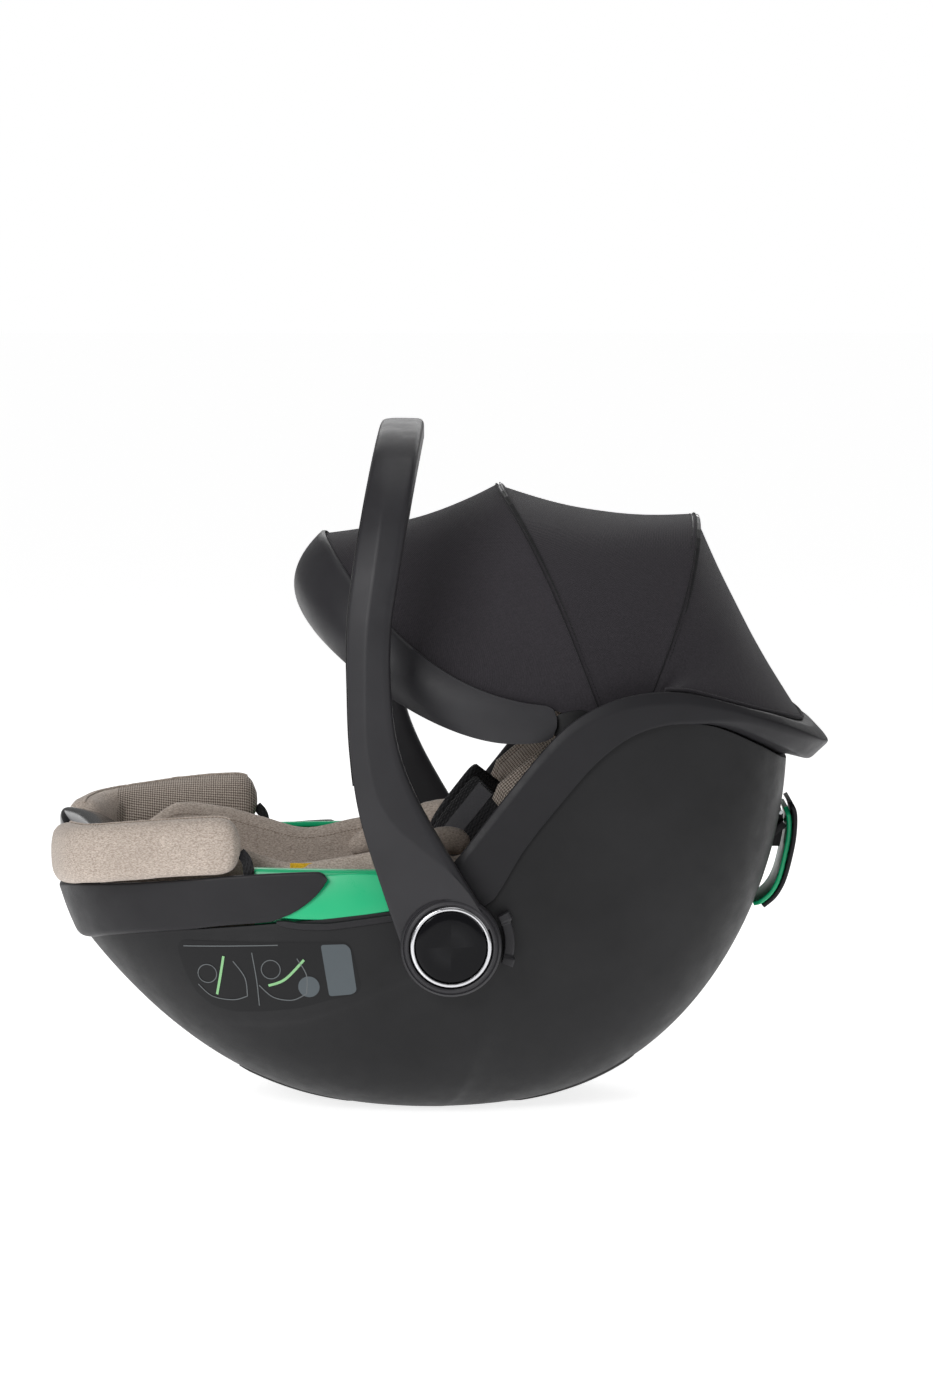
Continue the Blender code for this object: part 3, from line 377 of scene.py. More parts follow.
def woven(name, slot, colour, pitch, relief=0.5, spread=0.35, sheen=0.12, ribs=(1.0, 1.0)):
    """Plain or ribbed weave laid along the surface, with uneven yarns."""
    tree, shader = start_look(name, slot, colour, 0.85, Sheen_Weight=sheen, Sheen_Roughness=0.4,
                              Specular_IOR_Level=0.25)
    where = place(tree, surface=True)
    parts = add(tree, "SeparateXYZ", {"Vector": where})
    turn = math.pi / pitch
    warp = maths(tree, "SINE", maths(tree, "MULTIPLY", parts.outputs[0], turn * ribs[0]))
    weft = maths(tree, "SINE", maths(tree, "MULTIPLY", parts.outputs[1], turn * ribs[1]))
    height = maths(tree, "MULTIPLY", warp, weft)
    speckle = noise_at(tree, place(tree), 760.0, 3.0, 0.75)
    clouds = noise_at(tree, place(tree), 7.0, 2.0)
    tone = maths(tree, "ADD", maths(tree, "MULTIPLY", height, 0.18), ranged(tree, speckle, 0.0, 0.8))
    tone = maths(tree, "ADD", tone, ranged(tree, clouds, -0.15, 0.15))
    paint(tree, shader, mixed(tree, tone, scaled(colour, 1 - spread), scaled(colour, 1 + spread)))
    bump(tree, shader, maths(tree, "ADD", height, speckle), relief, pitch * 0.5)


def foam(name, slot, colour):
    """Moulded bead foam: rounded cells pressed against each other."""
    tree, shader = start_look(name, slot, colour, 0.85)
    cells = add(tree, "TexVoronoi", {"Vector": place(tree), "Scale": 280.0}).outputs["Distance"]
    paint(tree, shader, mixed(tree, ranged(tree, cells, 0.0, 1.0, 0.1, 0.7), colour, scaled(colour, 0.8)))
    bump(tree, shader, cells, 0.5, 0.001)


def printed_film(name, slot, colour, roughness):
    """Thin printed sticker film with a faint orange-peel surface."""
    tree, shader = start_look(name, slot, colour, roughness, Specular_IOR_Level=0.2)
    where = place(tree)
    peel = noise_at(tree, where, 420.0, 2.0)
    paint(tree, shader, mixed(tree, noise_at(tree, where, 24.0), scaled(colour, 0.9), colour))
    bump(tree, shader, peel, 0.1, 0.0001)


def make_looks():
    """Every look of the seat, under the record's slots."""
    moulded_plastic("shell_plastic", "shell_plastic", (0.0125, 0.0124, 0.0134), 0.50,
                    Specular_IOR_Level=0.2)
    moulded_plastic("rim_plastic", "shell_plastic", (0.0135, 0.0130, 0.0150), 0.46,
                    Specular_IOR_Level=0.22)
    moulded_plastic("handle_plastic", "handle_plastic", (0.020, 0.0193, 0.0220), 0.42,
                    Specular_IOR_Level=0.3)
    moulded_plastic("trim_plastic", "handle_plastic", (0.006, 0.006, 0.0065), 0.38,
                    Specular_IOR_Level=0.2)
    moulded_plastic("green_plastic", "green_plastic", (0.0, 0.43, 0.175), 0.34, grain=0.12, spread=0.05)
    moulded_plastic("gloss_black", "gloss_black", (0.003, 0.003, 0.004), 0.10, grain=0.02, spread=0.05,
                    Specular_IOR_Level=0.12)
    moulded_plastic("red_plastic", "red_plastic", (0.50, 0.015, 0.012), 0.3, grain=0.1, spread=0.08)
    moulded_plastic("rubber", "handle_plastic", (0.012, 0.012, 0.012), 0.75, grain=0.6)
    metal("chrome", "chrome", (0.62, 0.62, 0.64), 0.16)
    metal("steel", "steel", (0.52, 0.53, 0.55), 0.28)
    foam("foam", "foam", (0.80, 0.70, 0.52))
    jersey("beige_fabric", "beige_fabric", (0.30, 0.245, 0.205), (0.60, 0.52, 0.455))
    knit("knit_fabric", "knit_fabric", (0.17, 0.135, 0.11), (0.58, 0.50, 0.435), 0.0040)
    woven("canopy_fabric", "canopy_fabric", (0.0275, 0.0245, 0.029), 0.0009)
    woven("webbing", "webbing", (0.022, 0.022, 0.024), 0.0016, relief=0.8, ribs=(1.0, 0.45))
    woven("thread_beige", "beige_fabric", (0.30, 0.24, 0.19), 0.0006)
    woven("thread_dark", "canopy_fabric", (0.010, 0.009, 0.011), 0.0006)
    woven("satin_band", "webbing", (0.075, 0.074, 0.080), 0.0010, relief=0.25, spread=0.15, sheen=0.4)
    woven("yellow_fabric", "beige_fabric", (0.78, 0.47, 0.03), 0.0007)
    printed_film("film_dark", "shell_plastic", (0.0105, 0.0105, 0.0115), 0.5)
    printed_film("film_grey", "shell_plastic", (0.085, 0.10, 0.11), 0.4)
    printed_film("film_line", "shell_plastic", (0.12, 0.13, 0.135), 0.4)
    printed_film("film_green", "green_plastic", (0.25, 0.50, 0.24), 0.4)


# ---------------------------------------------------------------- mesh helpers

def piece(name, points, faces, look, body, replaces=(), corners=None, smooth_angle=40.0):
    """A new piece from points in millimetres, with its look, riding on a body of the frame."""
    mesh = bpy.data.meshes.new(name)
    mesh.from_pydata([tuple(c * MM for c in p) for p in points], [], faces)
    if corners:
        layer = mesh.uv_layers.new(name="surface")
        flat = [c for face in corners for pair in face for c in pair]
        layer.data.foreach_set("uv", flat)
    shape = bmesh.new()
    shape.from_mesh(mesh)
    bmesh.ops.recalc_face_normals(shape, faces=shape.faces)
    shape.to_mesh(mesh)
    shape.free()
    mesh.shade_smooth()
    mesh.set_sharp_from_angle(angle=math.radians(smooth_angle))
    made = bpy.data.objects.new(name, mesh)
    bpy.context.scene.collection.objects.link(made)
    dress(made, look)
    if body:
        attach(made, body)
    if replaces:
        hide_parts(*replaces)
    return made


def dress(item, look):
    """Give an object one look."""
    finish, slot = LOOKS[look]
    item.data.materials.clear()
    item.data.materials.append(finish)


def lengths(rows, closed):
    """How far along its surface each step of a grid lies, in metres: across a row and down the rows."""
    middle = rows[len(rows) // 2]
    wide = len(middle)
    across = [0.0]
    for j in range(wide if closed else wide - 1):
        across.append(across[-1] + math.dist(middle[j], middle[(j + 1) % wide]) * MM)
    down = [0.0]
    probes = range(0, wide, max(1, wide // 6))
    for i in range(len(rows) - 1):
        step = sum(math.dist(rows[i][j], rows[i + 1][j]) for j in probes) / len(probes)
        down.append(down[-1] + step * MM)
    return across, down


def grid(name, rows, look, body, closed=False, caps=False, wrap=False, smooth_angle=40.0,
         replaces=()):
    """Skin a list of rows; closed joins each row's ends, wrap joins the last row to the first."""
    wide = len(rows[0])
    across, down = lengths(rows, closed)
    faces = []
    corners = []
    columns = wide if closed else wide - 1
    for i in range(len(rows) if wrap else len(rows) - 1):
        low = i * wide
        high = ((i + 1) % len(rows)) * wide
        v0 = down[i]
        v1 = down[i + 1] if i + 1 < len(down) else down[i] + 0.01
        for j in range(columns):
            k = (j + 1) % wide
            faces.append((low + j, low + k, high + k, high + j))
            u0, u1 = across[j], across[j + 1]
            corners.append(((u0, v0), (u1, v0), (u1, v1), (u0, v1)))
    if caps:
        for start in (0, (len(rows) - 1) * wide):
            faces.append(tuple(start + j for j in range(wide)))
            corners.append(tuple((0.0, 0.0) for j in range(wide)))
    points = [p for row in rows for p in row]
    return piece(name, points, faces, look, body, replaces, corners, smooth_angle)


def swept_rows(path, side, sections):
    """Sections (width along side, depth across it) set along a path of points."""
    rows = []
    for i, point in enumerate(path):
        ahead = Vector(path[min(i + 1, len(path) - 1)])
        behind = Vector(path[max(i - 1, 0)])
        tangent = (ahead - behind).normalized()
        across = (Vector(side) - tangent * tangent.dot(Vector(side))).normalized()
        deep = tangent.cross(across)
        rows.append([tuple(Vector(point) + across * a + deep * b) for a, b in sections[i]])
    return rows


def sweep(name, path, side, section, look, body, replaces=(), smooth_angle=40.0):
    """A bar with one section, or one section per point, along a path."""
    sections = section if isinstance(section[0][0], (list, tuple)) else [section] * len(path)
    return grid(name, swept_rows(path, side, sections), look, body, True, True, smooth_angle=smooth_angle,
                replaces=replaces)


def tube(name, path, radius, look, body):
    """A thin round cord along a path; its section leans so that no path runs along the lean."""
    section = [(radius * math.cos(a), radius * math.sin(a)) for a in circle(8)]
    sweep(name, path, (0.13, 0.21, 0.97), section, look, body)


def lathe(name, centre, profile, side, look, body, replaces=(), segments=128, smooth_angle=35.0):
    """Turn (radius, y) pairs round an axis along Y; side mirrors y."""
    rows = []
    for angle in circle(segments):
        rows.append([(centre[0] + r * math.cos(angle), side * y, centre[1] + r * math.sin(angle))
                     for r, y in profile])
    grid(name, rows, look, body, True, wrap=True, smooth_angle=smooth_angle, replaces=replaces)


def plate(name, origin, axis_a, axis_b, outline, thickness, look, body, edge=1.0, replaces=(), crown=0.0):
    """A rounded plate from an outline of (a, b) pairs; its thickness runs along axis_a x axis_b.
    edge is the size of its rounded edges, and crown how far its middle stands out."""
    a_axis, b_axis = Vector(axis_a).normalized(), Vector(axis_b).normalized()
    normal = a_axis.cross(b_axis).normalized()
    rows = []
    steps = ((0.0, edge), (edge * 0.3, edge * 0.3), (edge, 0.0), (thickness - edge, 0.0),
             (thickness - edge * 0.3, edge * 0.3), (thickness, edge),
             (thickness + crown * 0.7, edge + crown * 3), (thickness + crown, edge + crown * 7))
    size = max(math.hypot(a, b) for a, b in outline)
    for depth, inset in steps if crown else steps[:6]:
        centre = Vector(origin) + normal * depth
        share = 1 - inset / size
        rows.append([tuple(centre + a_axis * a * share + b_axis * b * share) for a, b in outline])
    grid(name, rows, look, body, True, True, replaces=replaces)


def stitches(name, path, look, body, pitch=3.2, length=2.2, radius=0.35, lift=0.2):
    """A row of single stitches lying along a path of (point, normal) pairs."""
    sides = 6
    rings = ((-0.5, 0.35), (-0.3, 1.0), (0.3, 1.0), (0.5, 0.35))
    points, faces = [], []
    travelled, due = 0.0, pitch
    for (a, normal_a), (b, normal_b) in zip(path, path[1:]):
        a, b, normal = Vector(a), Vector(b), Vector(normal_a).normalized()
        step = (b - a).length
        if step < 1e-6:
            continue
        along = (b - a) / step
        side = along.cross(normal).normalized()
        while due <= travelled + step:
            centre = a + along * (due - travelled) + normal * lift
            first = len(points)
            for offset, size in rings:
                for angle in circle(sides):
                    points.append(tuple(centre + along * length * offset
                                        + side * radius * size * math.cos(angle)
                                        + normal * radius * size * math.sin(angle)))
            for ring in range(len(rings) - 1):
                low = first + ring * sides
                for j in range(sides):
                    k = (j + 1) % sides
                    faces.append((low + j, low + k, low + sides + k, low + sides + j))
            faces.append(tuple(first + j for j in range(sides)))
            faces.append(tuple(len(points) - sides + j for j in range(sides)))
            due += pitch
        travelled += step
    piece(name, points, faces, look, body)


def surface_of(item):
    """A search tree over a piece's final surface, in millimetres."""
    shape = bmesh.new()
    shape.from_mesh(item.data)
    for vertex in shape.verts:
        vertex.co = vertex.co / MM
    tree = BVHTree.FromBMesh(shape)
    shape.free()
    return tree


def on_surface(tree, path, lift):
    """The nearest surface points to a path, lifted off along the surface's normal, with the normals."""
    made = []
    for point in path:
        spot, normal, index, distance = tree.find_nearest(Vector(point))
        made.append((tuple(spot + normal * lift), tuple(normal)))
    return made


SWELL_FRAMES = 20


def puffed(item, voxel, pressure, cap):
    """Remesh a closed form and let it swell under pressure, no point moving more than cap (mm)."""
    bpy.context.view_layer.objects.active = item
    remesh = item.modifiers.new("remesh", "REMESH")
    remesh.mode = "VOXEL"
    remesh.voxel_size = voxel * MM
    remesh.use_smooth_shade = True
    keep(item, "remesh")
    rest = [v.co.copy() for v in item.data.vertices]
    cloth = item.modifiers.new("cloth", "CLOTH")
    cloth.settings.effector_weights.gravity = 0.0
    cloth.settings.use_pressure = True
    cloth.settings.uniform_pressure_force = pressure
    cloth.settings.mass = 0.3
    cloth.settings.tension_stiffness = 15.0
    cloth.settings.compression_stiffness = 15.0
    cloth.settings.bending_stiffness = 0.5
    cloth.point_cache.frame_start = 1
    cloth.point_cache.frame_end = SWELL_FRAMES
    for step in range(1, SWELL_FRAMES + 1):
        bpy.context.scene.frame_set(step)
    keep(item, "cloth")
    bpy.context.scene.frame_set(1)
    for vertex, start in zip(item.data.vertices, rest):
        move = vertex.co - start
        if move.length > cap * MM:
            vertex.co = start + move.normalized() * cap * MM
    item.data.update()


def keep(item, modifier_name):
    """Apply one modifier to the mesh."""
    shown = item.evaluated_get(bpy.context.evaluated_depsgraph_get())
    made = bpy.data.meshes.new_from_object(shown)
    old = item.data
    item.modifiers.remove(item.modifiers[modifier_name])
    item.data = made
    bpy.data.meshes.remove(old)


def swollen(item, look, body, voxel, pressure, cap):
    """Swell a closed form into a padded piece, smooth it, and give it its look and body."""
    puffed(item, voxel, pressure, cap)
    smoother = item.modifiers.new("refine", "SUBSURF")
    smoother.levels = 1
    smoother.render_levels = 1
    dress(item, look)
    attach(item, body)


def bevelled(item):
    """Round the edges of a carried-over CAD node a little."""
    edge = item.modifiers.new("edges", "BEVEL")
    edge.width = 0.5 * MM
    edge.segments = 2
    edge.limit_method = "ANGLE"
    edge.angle_limit = math.radians(40)
    edge.harden_normals = False


# ---------------------------------------------------------------- bucket surface

def plan_point(angle, foot_x=HULL_FOOT_X, head_x=HULL_HEAD_X, half_width=HULL_HALF_WIDTH):
    """A point of the bucket's outline seen from above, from its angle."""
    c = math.cos(angle)
    s = math.sin(angle)
    length = head_x - HULL_MID_X if c > 0 else HULL_MID_X - foot_x
    power = 2 / (HEAD_EXPONENT if c > 0 else FOOT_EXPONENT)
    x = HULL_MID_X + math.copysign(length * abs(c) ** power, c)
    y = math.copysign(half_width * abs(s) ** power, s)
    return x, y


def inset_point(angle, inset):
    """The same for an outline that lies inside the bucket's; a negative inset lies outside."""
    return plan_point(angle, HULL_FOOT_X + inset, HULL_HEAD_X - inset, HULL_HALF_WIDTH - inset)


def angle_at(x, foot_x=HULL_FOOT_X):
    """The plan angle (0 to pi) where the outline reaches x."""
    if x > HULL_MID_X:
        share = (x - HULL_MID_X) / (HULL_HEAD_X - HULL_MID_X)
        return math.acos(min(1.0, share) ** (HEAD_EXPONENT / 2))
    share = (HULL_MID_X - x) / (HULL_MID_X - foot_x)
    return math.pi - math.acos(min(1.0, share) ** (FOOT_EXPONENT / 2))


def half_width_at(x):
    """Half the bucket's width at its top edge."""
    return plan_point(angle_at(x))[1]


def hull_point(angle, t, inset):
    """Outer surface of the bucket, from its top edge (t = 0) to the flat base (t = 1)."""
    x0, y0 = inset_point(angle, inset)
    z0 = smooth_height(SHELL_EDGE, x0)
    c = math.cos(angle)
    weight = abs(c) ** 1.5
    base_x = BASE_HALF_LENGTH * c
    base_y = BASE_HALF_WIDTH * math.sin(angle)
    if c > 0:
        first = (x0 * (1 - 0.023 * weight), z0 * 0.505)
        second_x = base_x + (x0 - base_x) * 0.58
    else:
        first = (x0 * (1 - 0.138 * weight), z0 * (0.51 + 0.13 * weight))
        second_x = base_x + (x0 - base_x) * (0.58 - 0.11 * weight)
    second_y = base_y + (y0 - base_y) * 0.66
    return bezier((x0, y0, z0), (first[0], y0 * 1.005, first[1]),
                  (second_x, second_y, inset), (base_x, base_y, inset), t)


def even_angles(count):
    """Angles that share the bucket's outline into equal lengths, starting at the head end."""
    fine = 1440
    lengths_so_far = [0.0]
    for i in range(fine):
        a = plan_point(2 * math.pi * i / fine)
        b = plan_point(2 * math.pi * (i + 1) / fine)
        lengths_so_far.append(lengths_so_far[-1] + math.dist(a, b))
    angles = []
    k = 0
    for j in range(count // 2 + 1):
        goal = lengths_so_far[-1] * j / count
        while lengths_so_far[k + 1] < goal:
            k += 1
        share = (goal - lengths_so_far[k]) / (lengths_so_far[k + 1] - lengths_so_far[k])
        angles.append(2 * math.pi * (k + share) / fine)
    angles[-1] = math.pi
    return angles + [2 * math.pi - a for a in angles[-2:0:-1]]


def side_panel(point):
    """Push the side wall out above the crease that runs from the foot end up to the hub."""
    x, y, z = point
    if x > 12 or z < 40:
        return point
    step = 2.6 * ease(-215, -90, x) * (1 - ease(-12, 12, x))
    crease = smooth_height(PANEL_CREASE, x)
    rise = step * ease(crease - 2.5, crease + 2.5, z) * (1 - ease(crease + 18, crease + 75, z) * 0.7)
    return x, y + math.copysign(rise, y), z


def shell():
    """The bucket: a thin double-curved wall with a rounded lip, flat under its middle."""
    angles = even_angles(264)
    outer = [[side_panel(hull_point(a, i / 72, 0.0)) for a in angles] for i in range(73)]
    lip = []
    for inset in (1.0, HULL_WALL - 1.0):
        edge = [hull_point(a, 0.0, inset) for a in angles]
        lip.append([(x, y, z + 0.4) for x, y, z in edge])
    inner = [[hull_point(a, i / 12, HULL_WALL) for a in angles] for i in range(13)]
    grid("shell_wall", outer[::-1] + lip + inner, "shell_plastic", "carrier", True, True,
         replaces=["shell"])


def rocker_strips():
    """Long rubber strips let into the rounded underside, which keep the bucket from sliding."""
    section = ((-1.0, -0.8), (-0.9, 1.0), (-0.5, 1.5), (0.5, 1.5), (0.9, 1.0), (1.0, -0.8))
    for label, side in SIDES:
        for part, low, high in (("front", -168, -66), ("rear", 66, 172)):
            rows = []
            for i in range(25):
                x = low + (high - low) * i / 24
                narrow = end_share(i / 24, 4.5, 0.25)
                row = []
                for offset, lift in section:
                    y = side * (60 + 7 * narrow * offset)
                    row.append((x, y, underside(x, y) - lift * narrow))
                rows.append(row)
            grid(f"rocker_strip_{part}_{label}", rows, "rubber", "carrier", True, True)


WALL = {}


def hit_wall(start, direction):
    """Where a ray from outside meets the finished bucket's wall, with the wall's normal."""
    if "tree" not in WALL:
        WALL["tree"] = surface_of(bpy.data.objects["shell_wall"])
    spot, normal, index, distance = WALL["tree"].ray_cast(Vector(start), Vector(direction))
    return spot, normal


def underside(x, y):
    """Height of the bucket's outer surface under a point; the strips there stay off the floor."""
    return max(hit_wall((x, y, -50.0), (0, 0, 1))[0].z, 1.55)


def wall_spot(x, side, z, lift=0.0):
    """The point of the bucket's side wall at x and z, lifted off it, with the wall's normal."""
    spot, normal = hit_wall((x, side * 260.0, z), (0, -side, 0))
    return spot + normal * lift, normal


def shell_edge_point(angle, inset):
    """A point just above the bucket's top edge; a negative inset stands proud of the wall."""
    x, y = inset_point(angle, inset)
    edge_x = plan_point(angle)[0]
    wall_x = inset_point(angle, HULL_WALL)[0]
    height = max(smooth_height(SHELL_EDGE, edge_x), smooth_height(SHELL_EDGE, wall_x))
    return x, y, height + 0.5


def foot_rim():
    """Band that widens upwards round the foot end and ends in two rounded tips."""
    tip_at = (-88.5, -89.2, -90.4, -92.5, -95, -98, -102, -107, -113, -119)
    tips = [angle_at(x, FOOT_RIM_X) for x in tip_at]
    past_tip = tips[-1] + 0.02
    angles = tips + [a for a in even_angles(200) if past_tip < a < 2 * math.pi - past_tip]
    angles += [2 * math.pi - a for a in reversed(tips)]
    rows = []
    for angle in angles:
        top_x, top_y = plan_point(angle, FOOT_RIM_X, HULL_HEAD_X, HULL_HALF_WIDTH + RIM_PROUD)
        in_x, in_y = plan_point(angle, FOOT_RIM_X + 9, HULL_HEAD_X, HULL_HALF_WIDTH - 5.5)
        low_x, low_y, edge = shell_edge_point(angle, -RIM_PROUD * 0.6)
        deep_x, deep_y, edge = shell_edge_point(angle, HULL_WALL + 1.0)
        high = smooth_height(FOOT_RIM_TOP, top_x)
        low = max(edge, smooth_height(FOOT_TIP_BOTTOM, top_x) if top_x > -152 else edge)
        straight = ease(-230, -165, top_x)
        low_x, deep_x, in_x = (x + (top_x - x) * straight for x in (low_x, deep_x, in_x))
        overhang = max(0.0, -math.cos(angle)) ** 2.5 * (1 - straight)
        low_x, low_y = low_x + 7.0 * overhang * math.cos(angle), low_y * (1 + 0.02 * overhang)
        low -= 2.5 * overhang
        middle = (0.42 * low_x + 0.58 * top_x, 0.42 * low_y + 0.58 * top_y, (low + high) / 2)
        corners = [(low_x, low_y, low), middle, (top_x, top_y, high), (in_x, in_y, high - 1.0),
                   (deep_x, deep_y, low)]
        rows.append(filleted(corners, [1.8 + 5.0 * overhang, 30.0, 3.2, 3.0, 1.0], 5))
    grid("foot_rim_band", rows, "rim_plastic", "carrier", True, True, replaces=["foot_rim"])


def head_rim():
    """Band from hub to hub round the head end: a broad face, a chamfer and a thick rear lip."""
    start = angle_at(HEAD_RIM_START_X)
    half = [start] + [a for a in reversed(even_angles(240)[:120]) if a < start - 0.02]
    angles = [-a for a in half[:-1]] + half[::-1]
    rows = []
    for angle in angles:
        out_x, out_y = plan_point(angle, HULL_FOOT_X, HEAD_RIM_X, HULL_HALF_WIDTH + RIM_PROUD)
        low_x, low_y, low = shell_edge_point(angle, -RIM_PROUD * 0.5)
        in_x, in_y, low = shell_edge_point(angle, HULL_WALL + 1.0)
        high = smooth_height(HEAD_RIM_TOP, out_x)
        inner_high = smooth_height(HEAD_RIM_TOP, in_x)
        flare = max(0.0, math.cos(angle)) ** 3
        chamfer = min(10.0, (high - low) * 0.35)
        corners = [(low_x, low_y, low),
                   (0.45 * low_x + 0.55 * out_x, 0.45 * low_y + 0.55 * out_y, low - flare * 5.0),
                   (out_x, out_y, low + flare * 10.0), (out_x, out_y, high - chamfer),
                   (0.72 * out_x + 0.28 * in_x, 0.72 * out_y + 0.28 * in_y, 0.72 * high + 0.28 * inner_high),
                   (in_x, in_y, inner_high - 1.0), (in_x, in_y, low)]
        rows.append(filleted(corners, [1.5, 4.0, 3.0, 2.0, 2.2, 2.0, 1.0], 4))
    grid("head_rim_band", rows, "rim_plastic", "carrier", True, True, replaces=["head_rim"])


# ---------------------------------------------------------------- handle and hubs

HANDLE_ROUTE = [(15, 208, 157), (-8, 208, 205), (-36, 207.5, 270), (-48.5, 206.5, 320), (-52.5, 205, 370),
                (-52.5, 202, 420), (-46.5, 194, 468), (-39.5, 177, 512), (-34, 150, 543), (-30.5, 112, 562),
                (-28.5, 60, 572.5), (-28, 0, 575)]
HANDLE_WIDTH = [78, 66, 51, 40, 36, 36.5, 38, 38, 38, 38, 38, 38]
HANDLE_DEPTH = [19.5, 20.5, 22, 23, 23, 23, 23, 23, 23, 23, 23, 23]
HANDLE_CREASE = [1.0, 0.85, -0.15, -0.3, -0.2, -0.12, -0.1, -0.15, -0.3, -0.35, -0.4, -0.4]
HANDLE_STEPS = 300


def handle_section(half_wide, half_deep, crease, facet, outside):
    """Half of the handle's section: a front facet and a main face that meet at the crease."""
    sign = 1 if outside else -1
    if outside:
        front = half_deep * (0.86 - 0.50 * facet)
        corners = [(half_wide, 0.15), (half_wide, half_deep * 0.62), (half_wide * 0.86, half_deep * 0.94),
                   (crease * half_wide, half_deep), (-half_wide * (0.88 + 0.1 * facet), front),
                   (-half_wide, front * 0.55), (-half_wide, 0.15)]
        radii = [0.2, 5.0, 4.5, 2.0 + 9.0 * (1 - facet), 3.0, 2.0, 0.2]
    else:
        corners = [(half_wide, 0.15), (half_wide, half_deep * 0.75), (half_wide * 0.72, half_deep),
                   (0.0, half_deep * 1.02), (-half_wide * 0.72, half_deep), (-half_wide, half_deep * 0.75),
                   (-half_wide, 0.15)]
        radii = [0.2, 6.0, 6.0, 6.0, 6.0, 6.0, 0.2]
    return [(a, sign * b) for a, b in filleted(corners, radii, 5)]


def handle_path():
    """Points along the handle's arch from hub to hub, and its (width, depth, crease) there."""
    route = HANDLE_ROUTE + [(x, -y, z) for x, y, z in HANDLE_ROUTE[-2::-1]]
    sizes = list(zip(HANDLE_WIDTH, HANDLE_DEPTH, HANDLE_CREASE))
    return through(route, HANDLE_STEPS + 1), through(sizes + sizes[-2::-1], HANDLE_STEPS + 1)


def handle_half(name, outside):
    """One moulded half of the handle's arch, fused with its two hub bosses."""
    path, sizes = handle_path()
    sections = []
    for point, (wide, deep, crease) in zip(path, sizes):
        facet = 1 - ease(500, 565, point.z)
        sections.append(handle_section(wide / 2, deep / 2, max(-0.6, min(0.97, crease)), facet, outside))
    node = "handle_outer_shell" if outside else "handle_inner_shell"
    sweep(name, path, (1, 0, 0), sections, "handle_plastic", "handle", [node], 28.0)


def handle():
    """The carrying handle: two moulded halves, the seam between them and a bezel on each hub."""
    handle_half("handle_outer", True)
    handle_half("handle_inner", False)
    path, sizes = handle_path()
    skip = 34
    strip = []
    for i in range(skip, len(path) - skip):
        half = sizes[i][0] / 2
        strip.append([(a - half - 0.15, b) for a, b in box_outline(0.9, 1.1, 0.5, 2)])
    grid("handle_seam_strip", swept_rows(path[skip:-skip], (1, 0, 0), strip), "trim_plastic", "handle",
         True, True)
    for label, side in SIDES:
        outer = [(HUB_RADIUS - 1.2, HANDLE_SPLIT_Y + 0.2), (HUB_RADIUS, HANDLE_SPLIT_Y + 1.2),
                 (HUB_RADIUS, 214.0), (HUB_RADIUS - 0.8, 215.6), (40.0, 216.8), (39.4, 216.2),
                 (38.8, 216.6), (38.0, 217.7), (36.6, 218.2), (35.4, 217.8), (34.9, 216.6), (34.7, 209.0),
                 (34.7, HANDLE_SPLIT_Y + 0.2)]
        lathe(f"hub_bezel_{label}", HUB, outer, side, "handle_plastic", "handle", smooth_angle=30.0)
        inner = [(8.4, 198.2), (36.0, 198.2), (40.0, 198.6), (HUB_RADIUS - 0.3, 200.2),
                 (HUB_RADIUS, 203.0), (HUB_RADIUS, HANDLE_SPLIT_Y - 0.3), (8.4, HANDLE_SPLIT_Y - 0.3)]
        lathe(f"hub_back_{label}", HUB, inner, side, "handle_plastic", "handle")


def hub_buttons(label, side):
    """Glossy push button with a turned bright ring, which move together."""
    face = [(0.01, 218.55), (12, 218.5), (22, 218.3), (27.6, 217.9), (29.2, 217.4), (29.9, 216.4),
            (30.0, 213.4), (0.01, 213.4)]
    lathe(f"button_face_{label}", HUB, face, side, "gloss_black", f"button_{label}",
          [f"handle_button_{label}"], 160)
    trim = [(30.3, 213.3), (30.3, 218.0), (30.8, 218.8), (31.6, 219.0), (32.6, 218.85), (33.5, 218.2),
            (34.0, 217.2), (34.0, 213.3)]
    lathe(f"button_trim_{label}", HUB, trim, side, "chrome", f"button_{label}",
          [f"handle_button_ring_{label}"], 160)


def adapter_trigger(label, side):
    """Arc-shaped release behind the hub: two raised ends and a finger hollow between them."""
    rows = []
    for i in range(65):
        u = i / 64
        angle = math.radians(-21.0 + 50.0 * u)
        hollow = ease(0.12, 0.2, u) * (1 - ease(0.8, 0.88, u))
        outer = 55.0 - 2.0 * hollow
        top = 197.1 - 3.2 * hollow
        corners = [(44.6, 184.0), (outer, 184.0), (outer, top), (44.6, top + 0.6 * hollow)]
        row = filleted(corners, [0.3, 0.3, 2.2, 1.2], 4)
        c, s = math.cos(angle), math.sin(angle)
        rows.append([(HUB[0] + r * c, side * y, HUB[1] + r * s) for r, y in row])
    grid(f"trigger_bar_{label}", rows, "handle_plastic", f"trigger_{label}", True, True,
         replaces=[f"adapter_trigger_{label}"])


# ---------------------------------------------------------------- canopy

def rib_point(rib, turn, lift=0.0):
    """A point of a rib; turn runs from 0 at one side to pi at the other."""
    c = math.cos(turn)
    y = math.copysign((rib["half_width"] + lift) * abs(c) ** (2 / RIB_EXPONENT), c)
    r = (rib["radius"] + lift) * max(0.0, math.sin(turn)) ** (2 / RIB_EXPONENT)
    lean = math.radians(rib["angle"])
    bow = RIB_BOW * (1 - (r / rib["radius"]) ** 4) * min(1.0, r / 40.0)
    x = PIVOT[0] + r * math.sin(lean) + bow * math.cos(lean)
    z = PIVOT[1] + r * math.cos(lean) - bow * math.sin(lean)
    return x, y, z


